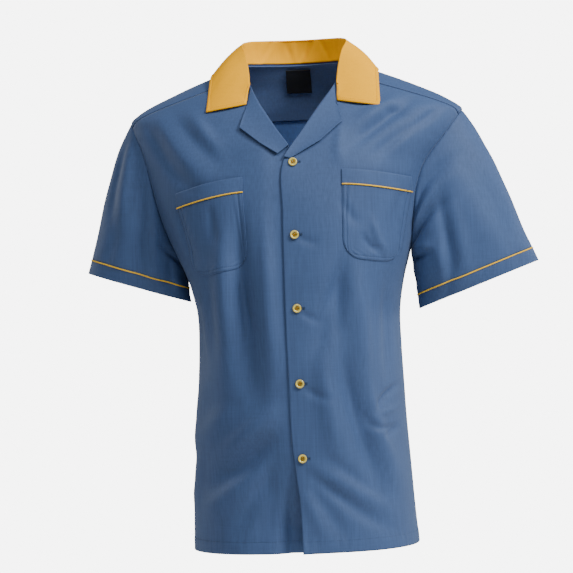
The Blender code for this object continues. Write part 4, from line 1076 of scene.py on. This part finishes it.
def pocketStitches(side, inset):
    # down one side, round the foot and up the other, inside the pocket's own outline
    a, b = inset / 0.100, inset / 0.125
    down = np.linspace(0.01, 1 - b, 60)
    over = np.linspace(a, 1 - a, 60)[1:-1]
    u = np.concatenate([np.full(60, a), over, np.full(60, 1 - a)])
    v = np.concatenate([down, np.full(58, 1 - b), down[::-1]])
    x, z = pocketPlan(side, u, v)
    sag = 0.0034 * np.sin(np.pi * u) * np.clip(1 - v / 0.5, 0, 1) ** 2
    return stitchRow(*onFront(x, z, pocket["lift"] - 0.0002 + sag))


def hemStitches():
    level = torsoRows[0, 0] + 0.0185
    rows = []
    for side in (1, -1):
        start = float(angleAt(smoothColumns(edgeRows[side], level)[0], level))
        angle = np.linspace(start, side * np.pi / 2, 160)
        rows.append(stitchRow(*frontPoint(side, angle, np.full(160, level), lift=0.0002)))
    angle = np.linspace(np.pi / 2, 1.5 * np.pi, 320)
    rows.append(stitchRow(*frontPoint(1, angle, np.full(320, level), lift=0.0002)))
    return rows


def yokeStitches():
    # on the yoke, two millimetres above its back seam and its shoulder seams
    edge = walked(yokeGrid, 0)[-1:] - walked(yokeGrid, 0)
    columns = np.arange(yokeGrid.shape[1])
    row = np.array([np.interp(0.0022, edge[::-1, j], np.arange(yokeGrid.shape[0])[::-1]) for j in columns])
    n = outward(yokeAngle, yokeZ)
    return stitchRow(gridRead(yokeGrid, row, columns.astype(float)), gridRead(n, row, columns.astype(float)))


def buttonholeStitches(centre, reach):
    # two close rows of short stitches across the line, with a bar at the outer end
    rows = []
    for z in (-0.0011, 0.0011):
        x = np.linspace(centre[0] + 0.0005, centre[0] + reach, 40)
        rows.append(stitchRow(*frontPoint(1, angleAt(x, centre[2] + z), np.full(40, centre[2] + z), lift=0.0003),
                              pitch=0.00055, long=0.0018, radius=0.00022, spin=math.pi / 2))
    x = centre[0] + reach + 0.0006
    z = centre[2] + np.linspace(-0.0020, 0.0020, 9)
    rows.append(stitchRow(*frontPoint(1, angleAt(np.full(9, x), z), z, lift=0.0004),
                          pitch=0.00055, long=0.0016, radius=0.00022, spin=math.pi / 2))
    return rows


stitchPiece("collarStitches", [collarStitches()], threadGold)
stitchPiece("pocketStitchesLeft", [pocketStitches(1, 0.0016), pocketStitches(1, 0.0070)], threadBlue)
stitchPiece("pocketStitchesRight", [pocketStitches(-1, 0.0016), pocketStitches(-1, 0.0070)], threadBlue)
stitchPiece("hemStitches", hemStitches(), threadBlue)
stitchPiece("yokeStitches", [yokeStitches()], threadBlue)
holeRows, buttonRows = [], []
for centre, across, upward, face, holes in buttonPlaces:
    holeRows += buttonholeStitches(centre, 0.0105)
    for a, b in ((0, 1), (2, 3)):
        line = np.linspace(holes[a], holes[b], 5) + face * 0.0006
        buttonRows.append(stitchRow(line, np.tile(face, (5, 1)), pitch=0.01, long=0.0034, radius=0.0004))
        buttonRows.append(stitchRow(line + across * 0.0004, np.tile(face, (5, 1)), pitch=0.01, long=0.0034,
                                    radius=0.00036))
stitchPiece("buttonholeStitches", holeRows, threadBlue)
stitchPiece("buttonThreads", buttonRows, threadGold)
print("stitches made")

# floor, light and camera
view = {"distance": 4.0, "azimuth": 4.0, "roll": 2.1, "aim": (-0.0255, 0.0, -0.3456), "lens": 162.1}
azimuth, roll = math.radians(view["azimuth"]), math.radians(view["roll"])
aim = Vector(view["aim"])
eye = aim + view["distance"] * Vector((math.sin(azimuth), -math.cos(azimuth), 0))
ahead = (aim - eye).normalized()
right = ahead.cross(Vector((0, 0, 1))).normalized()
up = right.cross(ahead)
right, up = (right * math.cos(roll) - up * math.sin(roll), right * math.sin(roll) + up * math.cos(roll))
cameraData = bpy.data.cameras.new("camera")
cameraData.lens, cameraData.sensor_width = view["lens"], 36
camera = bpy.data.objects.new("camera", cameraData)
turn = Matrix((right, up, -ahead)).transposed().to_4x4()
turn.translation = eye
camera.matrix_world = turn
bpy.context.scene.collection.objects.link(camera)
bpy.context.scene.camera = camera


def plane(name, size, place, colour):
    mesh = bpy.data.meshes.new(name)
    h = size / 2
    mesh.from_pydata([(-h, -h, place), (h, -h, place), (h, h, place), (-h, h, place)], [], [(0, 1, 2, 3)])
    ob = bpy.data.objects.new(name, mesh)
    m = bpy.data.materials.new(name)
    m.use_nodes = True
    m.node_tree.nodes["Principled BSDF"].inputs["Base Color"].default_value = (*colour, 1)
    m.node_tree.nodes["Principled BSDF"].inputs["Roughness"].default_value = 0.9
    mesh.materials.append(m)
    bpy.context.scene.collection.objects.link(ob)
    return ob


def areaLight(name, place, size, power, towards=(0, 0, -0.35), colour=(1, 1, 1)):
    data = bpy.data.lights.new(name, "AREA")
    data.energy, data.size, data.color = power, size, colour
    ob = bpy.data.objects.new(name, data)
    ob.location = place
    ob.rotation_euler = (Vector(towards) - Vector(place)).to_track_quat("-Z", "Y").to_euler()
    bpy.context.scene.collection.objects.link(ob)


plane("floor", 4.0, -1.05, (0.92, 0.92, 0.92))
areaLight("key", (2.05, -1.35, 1.60), 0.9, 104)
areaLight("top", (0.2, -1.7, 2.1), 1.0, 36, (0, 0, -0.1))
areaLight("fill", (-2.6, -3.0, 0.3), 2.6, 9)
areaLight("rimLeft", (-2.4, 1.0, 0.5), 1.0, 18)
areaLight("rimRight", (2.4, 1.2, 0.3), 1.0, 18)
studio = {"seen": 6.5, "lighting": 0.12}      # the white room as it looks, and as it lights the cloth
world = bpy.data.worlds.new("studio")
bpy.context.scene.world = world
world.use_nodes = True
path = world.node_tree.nodes.new("ShaderNodeLightPath")
level = world.node_tree.nodes.new("ShaderNodeMapRange")
level.inputs["To Min"].default_value, level.inputs["To Max"].default_value = studio["lighting"], studio["seen"]
world.node_tree.links.new(path.outputs["Is Camera Ray"], level.inputs["Value"])
world.node_tree.links.new(level.outputs["Result"], world.node_tree.nodes["Background"].inputs["Strength"])
world.node_tree.nodes["Background"].inputs["Color"].default_value = (1, 1, 1, 1)
print("floor, light and camera made")
